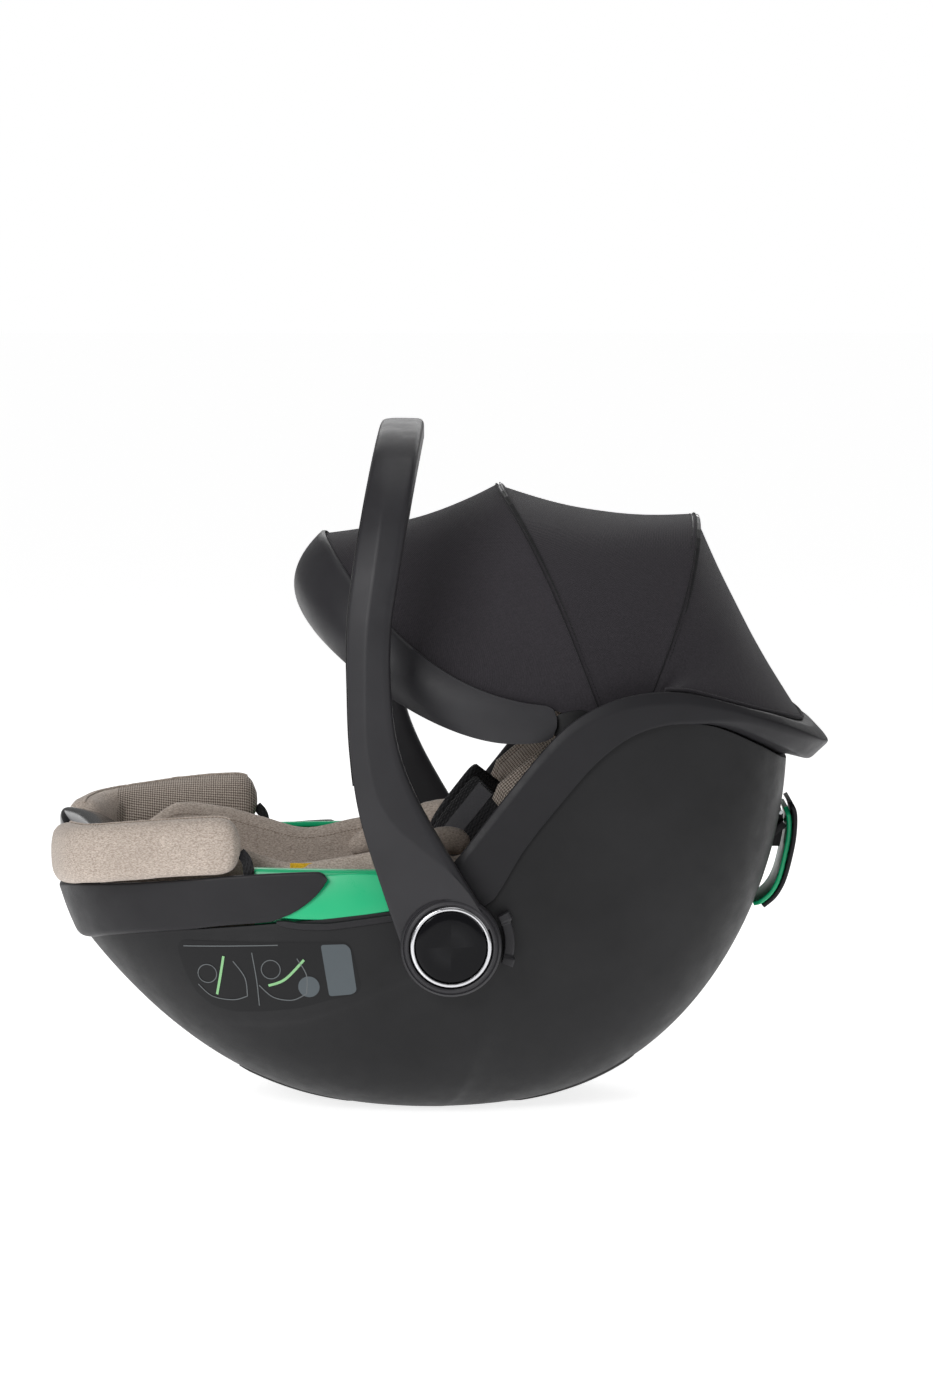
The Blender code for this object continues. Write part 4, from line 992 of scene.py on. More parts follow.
def visor_edges(turn):
    """Upper and lower edge of the rigid brim; turn runs from -90 to 90 degrees."""
    c = max(math.cos(turn), 0.0)
    s = math.sin(turn)
    reach = c ** (2 / VISOR_EXPONENT)
    y = math.copysign(VISOR_HALF_WIDTH * abs(s) ** (2 / VISOR_EXPONENT), s)
    upper = (121 - 217 * reach, y * 0.985, 352 + 137 * reach ** 2.35)
    low_reach = max(0.0, (reach - 0.25) / 0.75)
    lower_z = 321 + 91 * low_reach ** 1.7 + 10 * max(0.0, (0.22 - reach) / 0.22) ** 2
    lower = (121 - 228 * reach, y, lower_z)
    return upper, lower


def visor_point(turn, v, inward):
    """A point of the crowned brim between its upper (v = 0) and lower (v = 1) edge."""
    upper, lower = visor_edges(turn)
    bulge = (3.0 + 15.0 * max(0.0, math.cos(turn)) ** 1.5) * 4 * v * (1 - v)
    x = upper[0] + (lower[0] - upper[0]) * v - (bulge - inward) * math.cos(turn)
    y = upper[1] + (lower[1] - upper[1]) * v + (bulge * 0.6 - inward) * math.sin(turn)
    return x, y, upper[2] + (lower[2] - upper[2]) * v


def visor():
    """Rigid brim: a crowned plate that narrows towards its two rounded arms."""
    rows = []
    for i in range(181):
        tip = abs(2 * i / 180 - 1)
        turn = math.radians(87.6) * math.copysign(1 - (1 - tip) ** 1.15, i - 90)
        pinch = 1 - math.sqrt(max(0.0, 1 - max(0.0, (tip - 0.955) / 0.045) ** 2.4))
        height = 1 - 0.72 * pinch
        across = [0.5 + (j / 20 - 0.5) * height for j in range(21)]
        outer = [visor_point(turn, v, -1.5) for v in across]
        rim_low = visor_point(turn, 0.5 + 0.502 * height, 0.0)
        inner = [visor_point(turn, v, 1.5) for v in reversed(across)]
        rim_high = visor_point(turn, 0.5 - 0.502 * height, 0.0)
        rows.append(outer + [rim_low] + inner + [rim_high])
    grid("brim_plate", rows, "handle_plastic", "brim", True, True, smooth_angle=50.0, replaces=["visor"])
    arm = [(124, 350), (104, 346), (98, 332), (131, 296), (140, 291.5), (147, 296), (150, 310), (136, 345)]
    outline = filleted([(x - PIVOT[0], z - PIVOT[1]) for x, z in arm], 5.0, 4)
    for label, side in SIDES:
        origin = (PIVOT[0], side * (VISOR_HALF_WIDTH - 4.0) + 1.5, PIVOT[1])
        plate(f"brim_arm_{label}", origin, (1, 0, 0), (0, 0, 1), outline, 3.0, "trim_plastic", "brim", 0.6)


def rear_hem(turn):
    """Where the rear panel meets the head rim: along its inner top edge."""
    angle = 0.367 * math.pi * math.cos(turn)
    x, y = plan_point(angle, HULL_FOOT_X, HULL_HEAD_X + 14, HULL_HALF_WIDTH - 7)
    return x, y, smooth_height(HEAD_RIM_TOP, x) - 1.0


def visor_top(turn):
    """Just inside the brim's upper edge."""
    return visor_point(math.pi / 2 - turn, 0.03, 3.4)


def canopy_edge(rib):
    """The line along a rib that the cloth is drawn over."""
    return lambda turn: rib_point(rib, turn, 2.6)


def canopy_turn(share):
    """Angle round the canopy, from one side's end of the cloth to the other."""
    return math.radians(5 + 170 * share)


def canopy_rows(start, end, sag, folds, turns, shares):
    """A stretched cloth between two edges, hollow between them and drawn into a few soft folds."""
    centre = Vector((PIVOT[0], 0, PIVOT[1]))
    rows = []
    for i in range(shares + 1):
        share = i / shares
        row = []
        for j in range(turns + 1):
            turn = canopy_turn(j / turns)
            point = Vector(start(turn)).lerp(Vector(end(turn)), share)
            inward = centre - point
            inward.y *= 0.35
            inward.normalize()
            hollow = 4 * share * (1 - share)
            depth = sag * hollow * math.sin(turn) ** 1.5
            low = 1 - math.sin(turn)
            for phase, along, across, size in folds:
                wave = math.sin(phase + along * share + across * abs(math.cos(turn)))
                depth += size * hollow ** 0.7 * wave * low ** 0.8
            depth += 0.8 * hollow * noise.noise(point * 0.018)
            row.append(tuple(point + inward * depth))
        rows.append(row)
    return rows


def fan_weights(item, start, end):
    """For each of a panel's points, work out how far round the canopy it lies and the matching points of its
    two edges; nothing is kept.
    """
    for vertex in item.data.vertices:
        x, y, z = (c / MM for c in vertex.co)
        turn = min(math.pi - 0.05, max(0.05, math.acos(max(-1.0, min(1.0, y / 190.0)))))
        a, b = (edge(turn) for edge in (start, end))


# Each fold's phase, waves along the panel, waves across it, and depth
PANEL_FOLDS = {
    "front": [(0.6, 3.0, 2.0, 1.6), (2.0, 7.0, 3.0, 0.6)],
    "middle": [(1.2, 3.5, 1.5, 1.6), (0.4, 8.0, 3.0, 0.5)],
    "rear": [(2.4, 5.5, 2.2, 4.5), (0.2, 9.5, 4.0, 1.6), (1.5, 15.0, 6.0, 0.6)],
}


def canopy_panel(name, start, end, sag, node):
    """One continuous panel of cloth between two edges."""
    turns, shares = 150, 44
    rows = canopy_rows(start, end, sag, PANEL_FOLDS[name], turns, shares)
    inner = []
    centre = Vector((PIVOT[0], 0, PIVOT[1]))
    for row in rows:
        inner.append([tuple(Vector(p) + (centre - Vector(p)).normalized() * 1.1) for p in row])
    loops = [row + other[::-1] for row, other in zip(rows, inner)]
    cloth = grid(f"canopy_cloth_{name}", loops, "canopy_fabric", None, True, True, smooth_angle=60.0,
                 replaces=[node])
    [c * MM for c in start(math.pi / 2)]
    [c * MM for c in end(math.pi / 2)]
    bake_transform(cloth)
    fan_weights(cloth, start, end)


def canopy():
    """Three panels over two ribs, with a seam and stitches over each rib and a hem at the rim."""
    middle, rear = canopy_edge(MID_RIB), canopy_edge(REAR_RIB)
    canopy_panel("front", middle, visor_top, 9.0, "canopy_front_panel")
    canopy_panel("middle", rear, middle, 10.0, "canopy_middle_panel")
    canopy_panel("rear", rear_hem, rear, 5.0, "canopy_rear_panel")
    turns = [canopy_turn(i / 160) for i in range(161)]
    for name, rib, body in (("middle", MID_RIB, "middle_rib"), ("rear", REAR_RIB, "rear_rib")):
        seam = [rib_point(rib, turn, 2.9) for turn in turns]
        tube(f"canopy_seam_{name}", seam, 0.75, "thread_dark", body)
        lean = math.radians(rib["angle"])
        path = []
        for turn in turns:
            x, y, z = rib_point(rib, turn, 3.0)
            outward = Vector((x - PIVOT[0], y * 0.4, z - PIVOT[1])).normalized()
            path.append(((x + 3.2 * math.cos(lean), y, z - 3.2 * math.sin(lean)), tuple(outward)))
        stitches(f"canopy_stitches_{name}", path, "thread_dark", body, 3.0, 2.1, 0.3, 0.1)
    hem = [rear_hem(turn) for turn in turns]
    tube("canopy_hem", [(x, y, z + 2.0) for x, y, z in hem], 1.6, "canopy_fabric", "carrier")


# ---------------------------------------------------------------- soft seat

def cavity_point(angle, t, inset):
    """Inside of the seat, from the liner's edge (t = 0) to the seat floor (t = 1)."""
    x0, y0 = plan_point(angle, CAVITY_FOOT_X + inset, CAVITY_HEAD_X - inset, CAVITY_HALF_WIDTH - inset)
    z0 = smooth_height(LINER_EDGE, x0)
    floor = CAVITY_FLOOR_Z + inset
    base = (-55.0 + 50.0 * math.cos(angle), (104.0 - inset) * math.sin(angle), floor)
    first = (x0 + (base[0] - x0) * 0.28, y0 + (base[1] - y0) * 0.05, z0 + (floor - z0) * 0.4)
    second = (x0 + (base[0] - x0) * 0.65, y0 + (base[1] - y0) * 0.3, z0 + (floor - z0) * 0.84)
    return bezier((x0, y0, z0), first, second, base, t)


def seat_cover():
    """Padded cover that lines the cavity and rolls up over its edge, with soft creases."""
    angles = even_angles(240)
    under = [[cavity_point(a, i / 12, 2.0) for a in angles] for i in range(13)]
    over = [[dimpled(cavity_point(a, i / 36, 2.0 + COVER_THICKNESS), i / 36) for a in angles]
            for i in range(3, 37)]
    roll = []
    steps = 14
    for i in range(steps + 1):
        round_turn = math.pi * i / steps
        row = []
        for a in angles:
            x, y, z = cavity_point(a, 0.0, 10.0 - 8.5 * math.cos(round_turn))
            top = smooth_height(COVER_EDGE, x) + 1.2 * noise.noise(Vector((x, y, 0)) * 0.02)
            low = max(z, top - 24.0)
            row.append((x, y, low + (top - low) * math.sin(round_turn) ** 0.7))
        roll.append(row)
    made = grid("seat_cover_padding", under[::-1] + roll + over, "beige_fabric", "carrier", True, True,
                smooth_angle=80.0, replaces=["seat_cover"])
    tree = surface_of(made)
    path = []
    for i in range(200):
        angle = math.pi * (0.30 + 1.40 * i / 199)
        x, y, z = cavity_point(angle, 0.0, 18.0)
        path.append((x, y, smooth_height(COVER_EDGE, x) - 9.0))
    stitches("seat_cover_seam", on_surface(tree, path, 0.1), "thread_beige", "carrier")


def dimpled(point, t):
    """Raise and lower a point of the cover a little, most half way down (t = 0.5)."""
    x, y, z = point
    size = 2.2 * math.sin(math.pi * t)
    return x, y, z + size * noise.noise(Vector((x, y * 1.3, z)) * 0.022)


INSERT_ROUTE = [(-226, 0, 168), (-196, 0, 142), (-150, 0, 123), (-100, 0, 116), (-50, 0, 118),
                (-8, 0, 136), (30, 0, 166), (66, 0, 196)]
INSERT_HALF_WIDTHS = [58, 72, 82, 88, 90, 90, 86, 78]


def through_values(values, count):
    """The same smooth curve through plain numbers."""
    return [spot[0] for spot in through([(value, 0, 0) for value in values], count)]


def insert_cushion():
    """Padded insert in the seat: a soft base with raised sides, swollen like the real one."""
    path = through(INSERT_ROUTE, 15)
    widths = through_values(INSERT_HALF_WIDTHS, 15)
    rows = []
    for i, (point, half) in enumerate(zip(path, widths)):
        ahead, behind = path[min(i + 1, 14)], path[max(i - 1, 0)]
        tangent = (ahead - behind).normalized()
        up = Vector((-tangent.z, 0, tangent.x))
        round_off = 1 - abs(2 * i / 14 - 1) ** 6
        row = []
        for y, n in insert_profile(half, 14.0 * max(0.35, round_off)):
            row.append(tuple(point + up * n + Vector((0, y, 0))))
        rows.append(row)
    made = grid("seat_insert", rows, "beige_fabric", None, True, True)
    swollen(made, "beige_fabric", "carrier", 5.0, 3.5, 5.0)
    tree = surface_of(made)
    for label, side in SIDES:
        line = [(p.x, side * w * 0.66) for p, w in zip(through(path, 90), through_values(widths, 90))]
        seam = [spot for spot in (top_of(tree, x, y) for x, y in line[4:-4]) if spot]
        stitches(f"insert_stitches_{label}", seam, "thread_beige", "carrier", 3.4, 2.4, 0.4, 0.1)


def top_of(tree, x, y):
    """The highest point of a surface at x and y with its normal, or None beside the surface."""
    spot, normal, index, distance = tree.ray_cast(Vector((x, y, 500.0)), Vector((0, 0, -1)))
    return (tuple(spot), tuple(normal)) if spot else None


def insert_profile(half, thick):
    """Section of the insert: a flat middle and two bolsters, as (y, n) pairs."""
    rise = [(half * 0.45, thick), (half * 0.68, 14), (half * 0.80, 25), (half * 0.92, 26), (half, 18)]
    under = [(half * 0.94, 6), (half * 0.6, 1.5)]
    mirrored_rise = [(-y, n) for y, n in reversed(rise)]
    mirrored_under = [(-y, n) for y, n in reversed(under)]
    return mirrored_rise + [(0, thick)] + rise + under + [(0, 0)] + mirrored_under


WING_ROUTE = [(-312, 58, 219), (-308, 100, 221), (-291, 137, 225), (-256, 153, 229), (-215, 164, 233.5),
              (-161, 168, 236.5)]


def foot_wing(label, side):
    """Padded wing on the foot rim: a full boxy roll with a seam along its top."""
    count = 41
    path = through([(x, side * y, z) for x, y, z in WING_ROUTE], count)
    sections = []
    for i in range(count):
        u = i / (count - 1)
        front = 1 - (1 - u / 0.16) ** 2 if u < 0.16 else 1.0
        back = 1.0 if u < 0.93 else math.sqrt(max(0.0, 1 - ((u - 0.93) / 0.07) ** 2))
        size = max(0.12, front * back)
        tall = 8.0 + (18.5 - 2.5 * u) * size
        wide = 6.0 + 10.5 * size
        sections.append(squared_oval(tall * (0.45 + 0.55 * size), wide * (0.4 + 0.6 * size), 2.9, 40))
    made = sweep(f"wing_padding_{label}", path, (0, 0, 1), sections, "beige_fabric", None,
                 [f"foot_wing_{label}"], 80.0)
    swollen(made, "beige_fabric", "carrier", 4.5, 3.0, 4.0)
    knit_inside(made, side)
    tree = surface_of(made)
    crest = through([(x, side * (y - 3), z + 34) for x, y, z in WING_ROUTE], 151)
    line = [crest[int((0.10 + 0.88 * i / 149) * 150)] for i in range(150)]
    piping = on_surface(tree, line, 0.3)
    tube(f"wing_piping_{label}", [p for p, n in piping], 1.1, "beige_fabric", "carrier")
    beside = on_surface(tree, [(x, y + side * 4.0, z) for x, y, z in line], 0.1)
    stitches(f"wing_stitches_{label}", beside, "thread_beige", "carrier", 3.0, 2.2, 0.35, 0.1)


def knit_inside(item, side):
    """Give the wing's inner side the ventilated knit, from its seam down; the rest stays jersey."""
    mesh = item.data
    mesh.materials.append(LOOKS["knit_fabric"][0])
    layer = mesh.uv_layers.new(name="surface")
    for polygon in mesh.polygons:
        x, y, z = polygon.center / MM
        inside = polygon.normal.y * side < -0.15 or (polygon.normal.z > 0.4 and abs(y) < 150)
        if x > -284 and inside:
            polygon.material_index = 1
        for loop in polygon.loop_indices:
            spot = mesh.vertices[mesh.loops[loop].vertex_index].co
            layer.data[loop].uv = (spot.x, spot.z + 0.6 * abs(spot.y))


def wing_clip(label, side):
    """Dark elastic loop that holds the wing's rear end down to the rim."""
    path = through([(-162, side * 166, 230), (-157, side * 167, 224), (-155, side * 168, 217),
                    (-154.5, side * 169, 208)], 14)
    sweep(f"wing_elastic_{label}", path, (1, 0, 0), box_outline(4.5, 1.3, 1.0, 2), "webbing", "carrier")


# ---------------------------------------------------------------- headrest

def headrest_frame():
    """The headrest's lowest middle point, and its directions up along the back and out of it."""
    up = Vector((math.cos(math.radians(BACK_ANGLE)), 0, math.sin(math.radians(BACK_ANGLE))))
    out = Vector((-up.z, 0, up.x))
    return Vector(HEADREST_ORIGIN), up, out


def headrest_profile(half_width, depth, wing, thick):
    """C-shaped profile as (y, n) pairs: back plate with a wing on each side."""
    outer = [(-half_width, wing), (-half_width, depth + 22), (-half_width + 22, depth)]
    outer += [(half_width - 22, depth), (half_width, depth + 22), (half_width, wing)]
    inner = [(half_width - thick, wing), (half_width - thick, depth + 24 + thick * 0.6),
             (half_width - 24 - thick * 0.6, depth + thick)]
    inner += [(-half_width + 24 + thick * 0.6, depth + thick),
              (-half_width + thick, depth + 24 + thick * 0.6), (-half_width + thick, wing)]
    return outer + inner


def headrest_pad():
    """Knitted headrest pad, full and round at its edges; the knit runs on round its two wings."""
    origin, up, out = headrest_frame()
    rows = []
    for i in range(13):
        s = 129.0 * i / 12
        end = 1 - abs(2 * i / 12 - 1) ** 8
        profile = filleted(headrest_profile(91.0, 9.0, 84.0, 11.0), 14.0, 3)
        lower = 20.0 * ease(100, 132, s) + 8.0 * (1 - ease(0, 10, s))
        row = []
        for y, n in profile:
            height = n - lower if n > 48 else n
            row.append(tuple(origin + up * s + out * height + Vector((0, y * (0.97 + 0.03 * end), 0))))
        rows.append(row)
    made = grid("headrest_padding", rows, "knit_fabric", None, True, True)
    swollen(made, "knit_fabric", "headrest", 4.0, 3.0, 3.0)
    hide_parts("headrest_pad")
    layer = made.data.uv_layers.new(name="surface")
    for loop in made.data.loops:
        local = made.data.vertices[loop.vertex_index].co / MM - origin
        across = math.copysign(max(0.0, local.dot(out) - 20.0) + abs(local.y), local.y)
        layer.data[loop.index].uv = (across * MM, local.dot(up) * MM)


def headrest_wrap():
    """Knitted cover over the headrest's core, outside the pad."""
    origin, up, out = headrest_frame()
    rows = []
    for i in range(25):
        s = 138.0 * i / 24
        end = 1 - abs(2 * i / 24 - 1) ** 10
        lower = 22.0 * ease(96, 138, s) + 6.0 * (1 - ease(0, 12, s))
        profile = filleted(headrest_profile(100.0, 1.5 - end, 86.0, 7.5), 11.0, 5)
        row = []
        for y, n in spaced(profile, 5.0):
            height = n - lower if n > 48 else n
            row.append(tuple(origin + up * s + out * height + Vector((0, y * (0.985 + 0.015 * end), 0))))
        rows.append(row)
    made = grid("headrest_wrap", rows, "knit_fabric", "headrest", True, True, smooth_angle=60.0,
                replaces=["headrest_core"])


def side_bolster(label, side):
    """Soft roll beside the child's hips, between the insert and the seat cover."""
    path = through([(-78, side * 120, 196), (-45, side * 116, 212), (-12, side * 108, 226),
                    (12, side * 101, 232), (30, side * 96, 226)], 27)
    sections = []
    for i in range(27):
        size = max(0.25, (1 - abs(2 * i / 26 - 1) ** 5)) ** 0.5
        sections.append(squared_oval(13.0 * size, 11.0 * size, 2.3, 28))
    made = sweep(f"side_bolster_{label}", path, (0, 0, 1), sections, "beige_fabric", None,
                 smooth_angle=80.0)
    swollen(made, "beige_fabric", "carrier", 5.0, 3.0, 4.0)


# ---------------------------------------------------------------- harness

def harness():
    """Shoulder and lap webbing, and the shoulder pads."""
    for label, side in SIDES:
        shoulder = through([(-48, side * 20, 172), (-30, side * 29, 186), (-12, side * 37, 203),
                            (5, side * 45, 218)], 40)
        webbing(f"shoulder_webbing_{label}", shoulder, (0.0, 1.0, 0.0), 15.0, f"shoulder_strap_{label}")
        lap = through([(-58, side * 30, 168), (-62, side * 60, 155), (-66, side * 88, 146)], 30)
        webbing(f"lap_webbing_{label}", lap, (1.0, 0.0, 0.5), 13.0, f"lap_strap_{label}")
        shoulder_pad(label, side)


def webbing(name, path, side, half_width, node):
    """A flat strap with rounded edges along a path."""
    sweep(name, path, side, box_outline(half_width, 0.75, 0.7, 3), "webbing", "carrier", [node], 60.0)


def shoulder_pad(label, side):
    """Flat padded sleeve round the webbing, with a satin band and two rows of stitches."""
    path = through([(8, side * 50, 217), (20, side * 54, 235), (34, side * 58, 253),
                    (48, side * 60, 271)], 25)
    lean = Vector((-0.59, -side * 0.64, 0.49))
    sections = []
    for i in range(25):
        u = i / 24
        end = 1 - 0.16 * abs(2 * u - 1) ** 8
        sections.append(squared_oval(22.5 * end, 5.2 * (1 - 0.35 * abs(2 * u - 1) ** 6), 3.4, 36))
    made = sweep(f"shoulder_padding_{label}", path, lean, sections, "webbing", "carrier",
                 [f"shoulder_pad_{label}"], 70.0)
    tree = surface_of(made)
    outward = Vector((-0.47, side * 0.77, 0.40))
    band = [p + outward * 5.4 for p in path[1:-1]]
    sweep(f"shoulder_band_{label}", band, lean, box_outline(9.5, 0.7, 0.5, 2), "satin_band", "carrier")
    for edge, offset in (("in", -17.5), ("out", 17.5)):
        line = [p + outward * 20 + lean * offset for p in path[1:-1]]
        stitches(f"shoulder_stitches_{label}_{edge}", on_surface(tree, line, 0.1), "thread_dark", "carrier",
                 2.6, 1.9, 0.3, 0.1)


def buckle_frame():
    """The buckle's centre, and its directions along it, across it and out of its face."""
    along = Vector((math.cos(math.radians(BUCKLE_TILT)), 0, math.sin(math.radians(BUCKLE_TILT))))
    across = Vector((0, 1, 0))
    return Vector(BUCKLE_CENTRE), along, across, along.cross(across)


def buckle():
    """Buckle housing with its red release key, the two tongues in it and the crotch strap."""
    centre, along, across, up = buckle_frame()
    outline = filleted([(15, 22), (8, 27), (-12, 27), (-15, 24), (-15, -24), (-12, -27), (8, -27),
                        (15, -22)], 5.0, 4)
    opening = box_outline(8.9, 12.9, 2.8, 9)
    levels = ((0.0, 0.93), (1.0, 0.985), (2.5, 1.0), (9.5, 1.0), (12.0, 0.975), (13.3, 0.93), (14.0, 0.86))
    rows = []
    for depth, share in levels:
        rows.append([tuple(centre + up * depth + along * a * share + across * b * share)
                     for a, b in outline])
    grid("buckle_housing", rows, "gloss_black", "carrier", True, True, replaces=["buckle_body"])
    surround = centre - along * 3 + up * 13.7
    ring_rows = []
    for depth, grow in ((0.0, 1.5), (0.9, 1.0), (0.9, 0.3), (-0.5, 0.0)):
        ring_rows.append([tuple(surround + up * depth + along * (a + math.copysign(grow, a))
                                + across * (b + math.copysign(grow, b))) for a, b in opening])
    grid("buckle_surround", ring_rows, "trim_plastic", "carrier", True, wrap=True)
    plate("buckle_key", centre - along * 3 + up * 11, along, across, box_outline(8, 12, 2.6, 5), 5.0,
          "red_plastic", "buckle_release", 0.9, ["buckle_button"], 0.5)
    for label, side in SIDES:
        tongue = centre + along * 23.8 + up * 6 + Vector((0, side * 15, 0))
        shape = filleted([(8, 10), (-8, 8), (-8, -8), (8, -10)], 2.0, 3)
        plate(f"tongue_plate_{label}", tongue, along, across, shape, 3.0, "steel", "carrier", 0.7,
              [f"buckle_tongue_{label}"])
        grip = centre + along * 31.5 + up * 4.6 + Vector((0, side * 15, 0))
        shape = filleted([(5, 13), (-3, 12), (-3, -12), (5, -13)], 2.4, 3)
        plate(f"tongue_grip_{label}", grip, along, across, shape, 6.0, "trim_plastic", "carrier", 1.5)
    strap = through([tuple(centre - along * 46 + up * 3), tuple(centre - along * 30 + up * 5.5),
                     tuple(centre - along * 12 + up * 6)], 24)
    webbing("crotch_webbing", strap, (0, 1, 0), 17.0, "crotch_strap")


def length_adjuster():
    """Clamp in the front of the seat, with its release button and the pull strap."""
    inset = 2.0 + COVER_THICKNESS
    low = Vector(cavity_point(math.pi, 0.4, inset))
    high = Vector(cavity_point(math.pi, 0.2, inset))
    along = (low - high).normalized()
    across = Vector((0, 1, 0))
    up = along.cross(across)
    centre = (low + high) / 2
    plate("adjuster_body", centre + up * 2.5, along, across, box_outline(17, 21, 6.0, 6), 10.0,
          "trim_plastic", "carrier", 2.2, ["adjuster_housing"])
    plate("adjuster_key", centre + up * 9.5, along, across, box_outline(9, 12, 2.7, 5), 5.0,
          "gloss_black", "adjuster_release", 0.9, ["adjuster_button"], 0.4)
    tail = [Vector(cavity_point(math.pi, 0.19 - 0.165 * i / 40, inset)) + up * 4.5 for i in range(41)]
    webbing("adjuster_webbing", tail, (0, 1, 0), 18.0, "adjuster_strap")


# ---------------------------------------------------------------- fittings on the bucket

def front_lip():
    """Dark glossy lip at the foot end, between the two wings."""
    rows = []
    for i in range(61):
        y = -52 + 104 * i / 60
        bend = (y / 52) ** 2
        x = -318 + 12 * bend
        top = 248 - 8 * bend
        corners = [(x - 6, y, 195.2), (x - 8, y, top - 5), (x - 5, y, top), (x + 12, y, top - 3),
                   (x + 30, y, top - 14), (x + 30, y, top - 17), (x + 8, y, top - 9), (x - 2, y, top - 12),
                   (x, y, 195.2)]
        rows.append(filleted(corners, [1, 5, 4, 8, 1.3, 1.3, 4, 4, 1], 4))
    grid("front_lip", rows, "gloss_black", "carrier", True, True, replaces=["front_adjuster_cover"])


CHEEK_BOTTOM = [(-128, 176), (-110, 175.0), (-95, 175), (-73, 177), (-48, 181), (-16, 186)]
SHELL_LIP_MIDDLE = [(-131, 172), (-110, 169.5), (-90, 169.5), (-60, 173.5), (-30, 178), (-7, 181)]


def belt_guide(label, side):
    """Green lap-belt saddle: a smooth wall with a rolled top, behind the rim's tip."""
    rows = []
    top = 216.0
    for i in range(81):
        x = -150 + 106 * i / 80
        wide = half_width_at(x) - 7.0
        corners = [(0, 156), (0, top - 4), (2, top - 0.5), (6, top), (11.5, top), (11.5, top - 4),
                   (7, top - 6), (6, 156)]
        section = filleted(corners, [1, 4, 2.5, 1, 1.5, 1.5, 2, 1], 4)
        rows.append([(x, side * (wide - inset), z) for inset, z in section])
    grid(f"belt_saddle_{label}", rows, "green_plastic", "carrier", True, True,
         replaces=[f"belt_guide_{label}"])


def belt_cheek(label, side):
    """Green face of the belt saddle outside the bucket's edge, crowned from its bottom to its top."""
    rows = []
    for i in range(61):
        x = -128 + 112 * i / 60
        wide = half_width_at(x)
        ends = end_share(i / 60, 5, 0.1)
        low = smooth_height(CHEEK_BOTTOM, x)
        top = max(low + 1.5, 214.0 - 0.002 * (x + 60) ** 2)
        corners = [(-4, low), (0.8 * ends, low), (-0.5, (low + top) / 2), (-4.5, top), (-7, top), (-7, low)]
        section = filleted(corners, [1, 1.2, 12, 2, 1, 1], 3)
        rows.append([(x, side * (wide + depth), z) for depth, z in section])
    grid(f"belt_cheek_{label}", rows, "green_plastic", "carrier", True, True)


def shell_lip(label, side):
    """Dark ledge on the bucket's side, under the green face."""
    rows = []
    for i in range(81):
        x = -131 + 124 * i / 80
        point, normal = wall_spot(x, side, min(smooth_height(SHELL_EDGE, x) - 3.0, 180.0))
        ends = end_share(i / 80, 6, 0.12)
        z = smooth_height(SHELL_LIP_MIDDLE, x)
        corners = [(-1.5, -3.0), (1.9 * ends, -3.0), (2.6 * ends, 2.6), (-1.5, 3.6)]
        rows.append([(x, point.y + side * d, z + h * ends) for d, h in filleted(corners, 1.1, 3)])
    grid(f"shell_lip_{label}", rows, "rim_plastic", "carrier", True, True)


def belt_hook():
    """Rear guide for the car's shoulder belt: green hook, black cover, bracket and pin."""
    centre = [(303.5, 252), (306.5, 243), (306.5, 228), (303, 209), (298, 190), (291, 177.5),
              (282, 169.5), (276.5, 167)]
    route = through([(x, 0, z) for x, z in centre], 73)
    sections = []
    for i in range(73):
        tip = 1 - 0.25 * ease(0.8, 1.0, i / 72) - 0.12 * ease(0.12, 0.0, i / 72)
        sections.append(box_outline(33 * tip, 2.0, 1.4, 3))
    sweep("hook_green", route, (0, 1, 0), sections, "green_plastic", "carrier", ["belt_hook"])
    outer = [(307, 257), (311.3, 247), (311, 228), (307.5, 208), (302, 188), (294.5, 174.5), (284.5, 165.5)]
    outer_route = through([(x, 0, z) for x, z in outer], 65)
    sections = [box_outline((38 - 8 * (i / 64) ** 2) * (1 - 0.1 * ease(0.1, 0.0, i / 64)), 1.9, 1.3, 3)
                for i in range(65)]
    sweep("hook_cover", outer_route, (0, 1, 0), sections, "rim_plastic", "carrier", ["belt_hook_cover"])
    for label, side in SIDES:
        arm = [(303.0, side * 21, 237), (299.0, side * 21, 233), (293.5, side * 20, 229)]
        sweep(f"hook_stay_{label}", through(arm, 12), (0, 1, 0), box_outline(2.5, 3.2, 1.0, 2), "rim_plastic",
              "carrier")
        low, high = sorted((side * 14.2, side * 30.0))
        lathe(f"hook_pin_{label}", (299.5, 247.0), [(0.01, low), (1.6, low), (1.6, high), (0.01, high)], 1,
              "steel", "carrier", segments=24)


def patch(name, outline, side, look, lift):
    """A piece of film on the side wall, in rings that close towards its middle."""
    outer = spaced(outline, 4.0)
    middle = (sum(x for x, z in outer) / len(outer), sum(z for x, z in outer) / len(outer))
    rings = []
    for share in (1.0, 0.96, 0.8, 0.6, 0.4, 0.2, 0.01):
        ring = []
        for x, z in outer:
            at_x = middle[0] + (x - middle[0]) * share
            at_z = middle[1] + (z - middle[1]) * share
            ring.append(tuple(wall_spot(at_x, side, at_z, lift)[0]))
        rings.append(ring)
    grid(name, rings, look, "carrier", True)


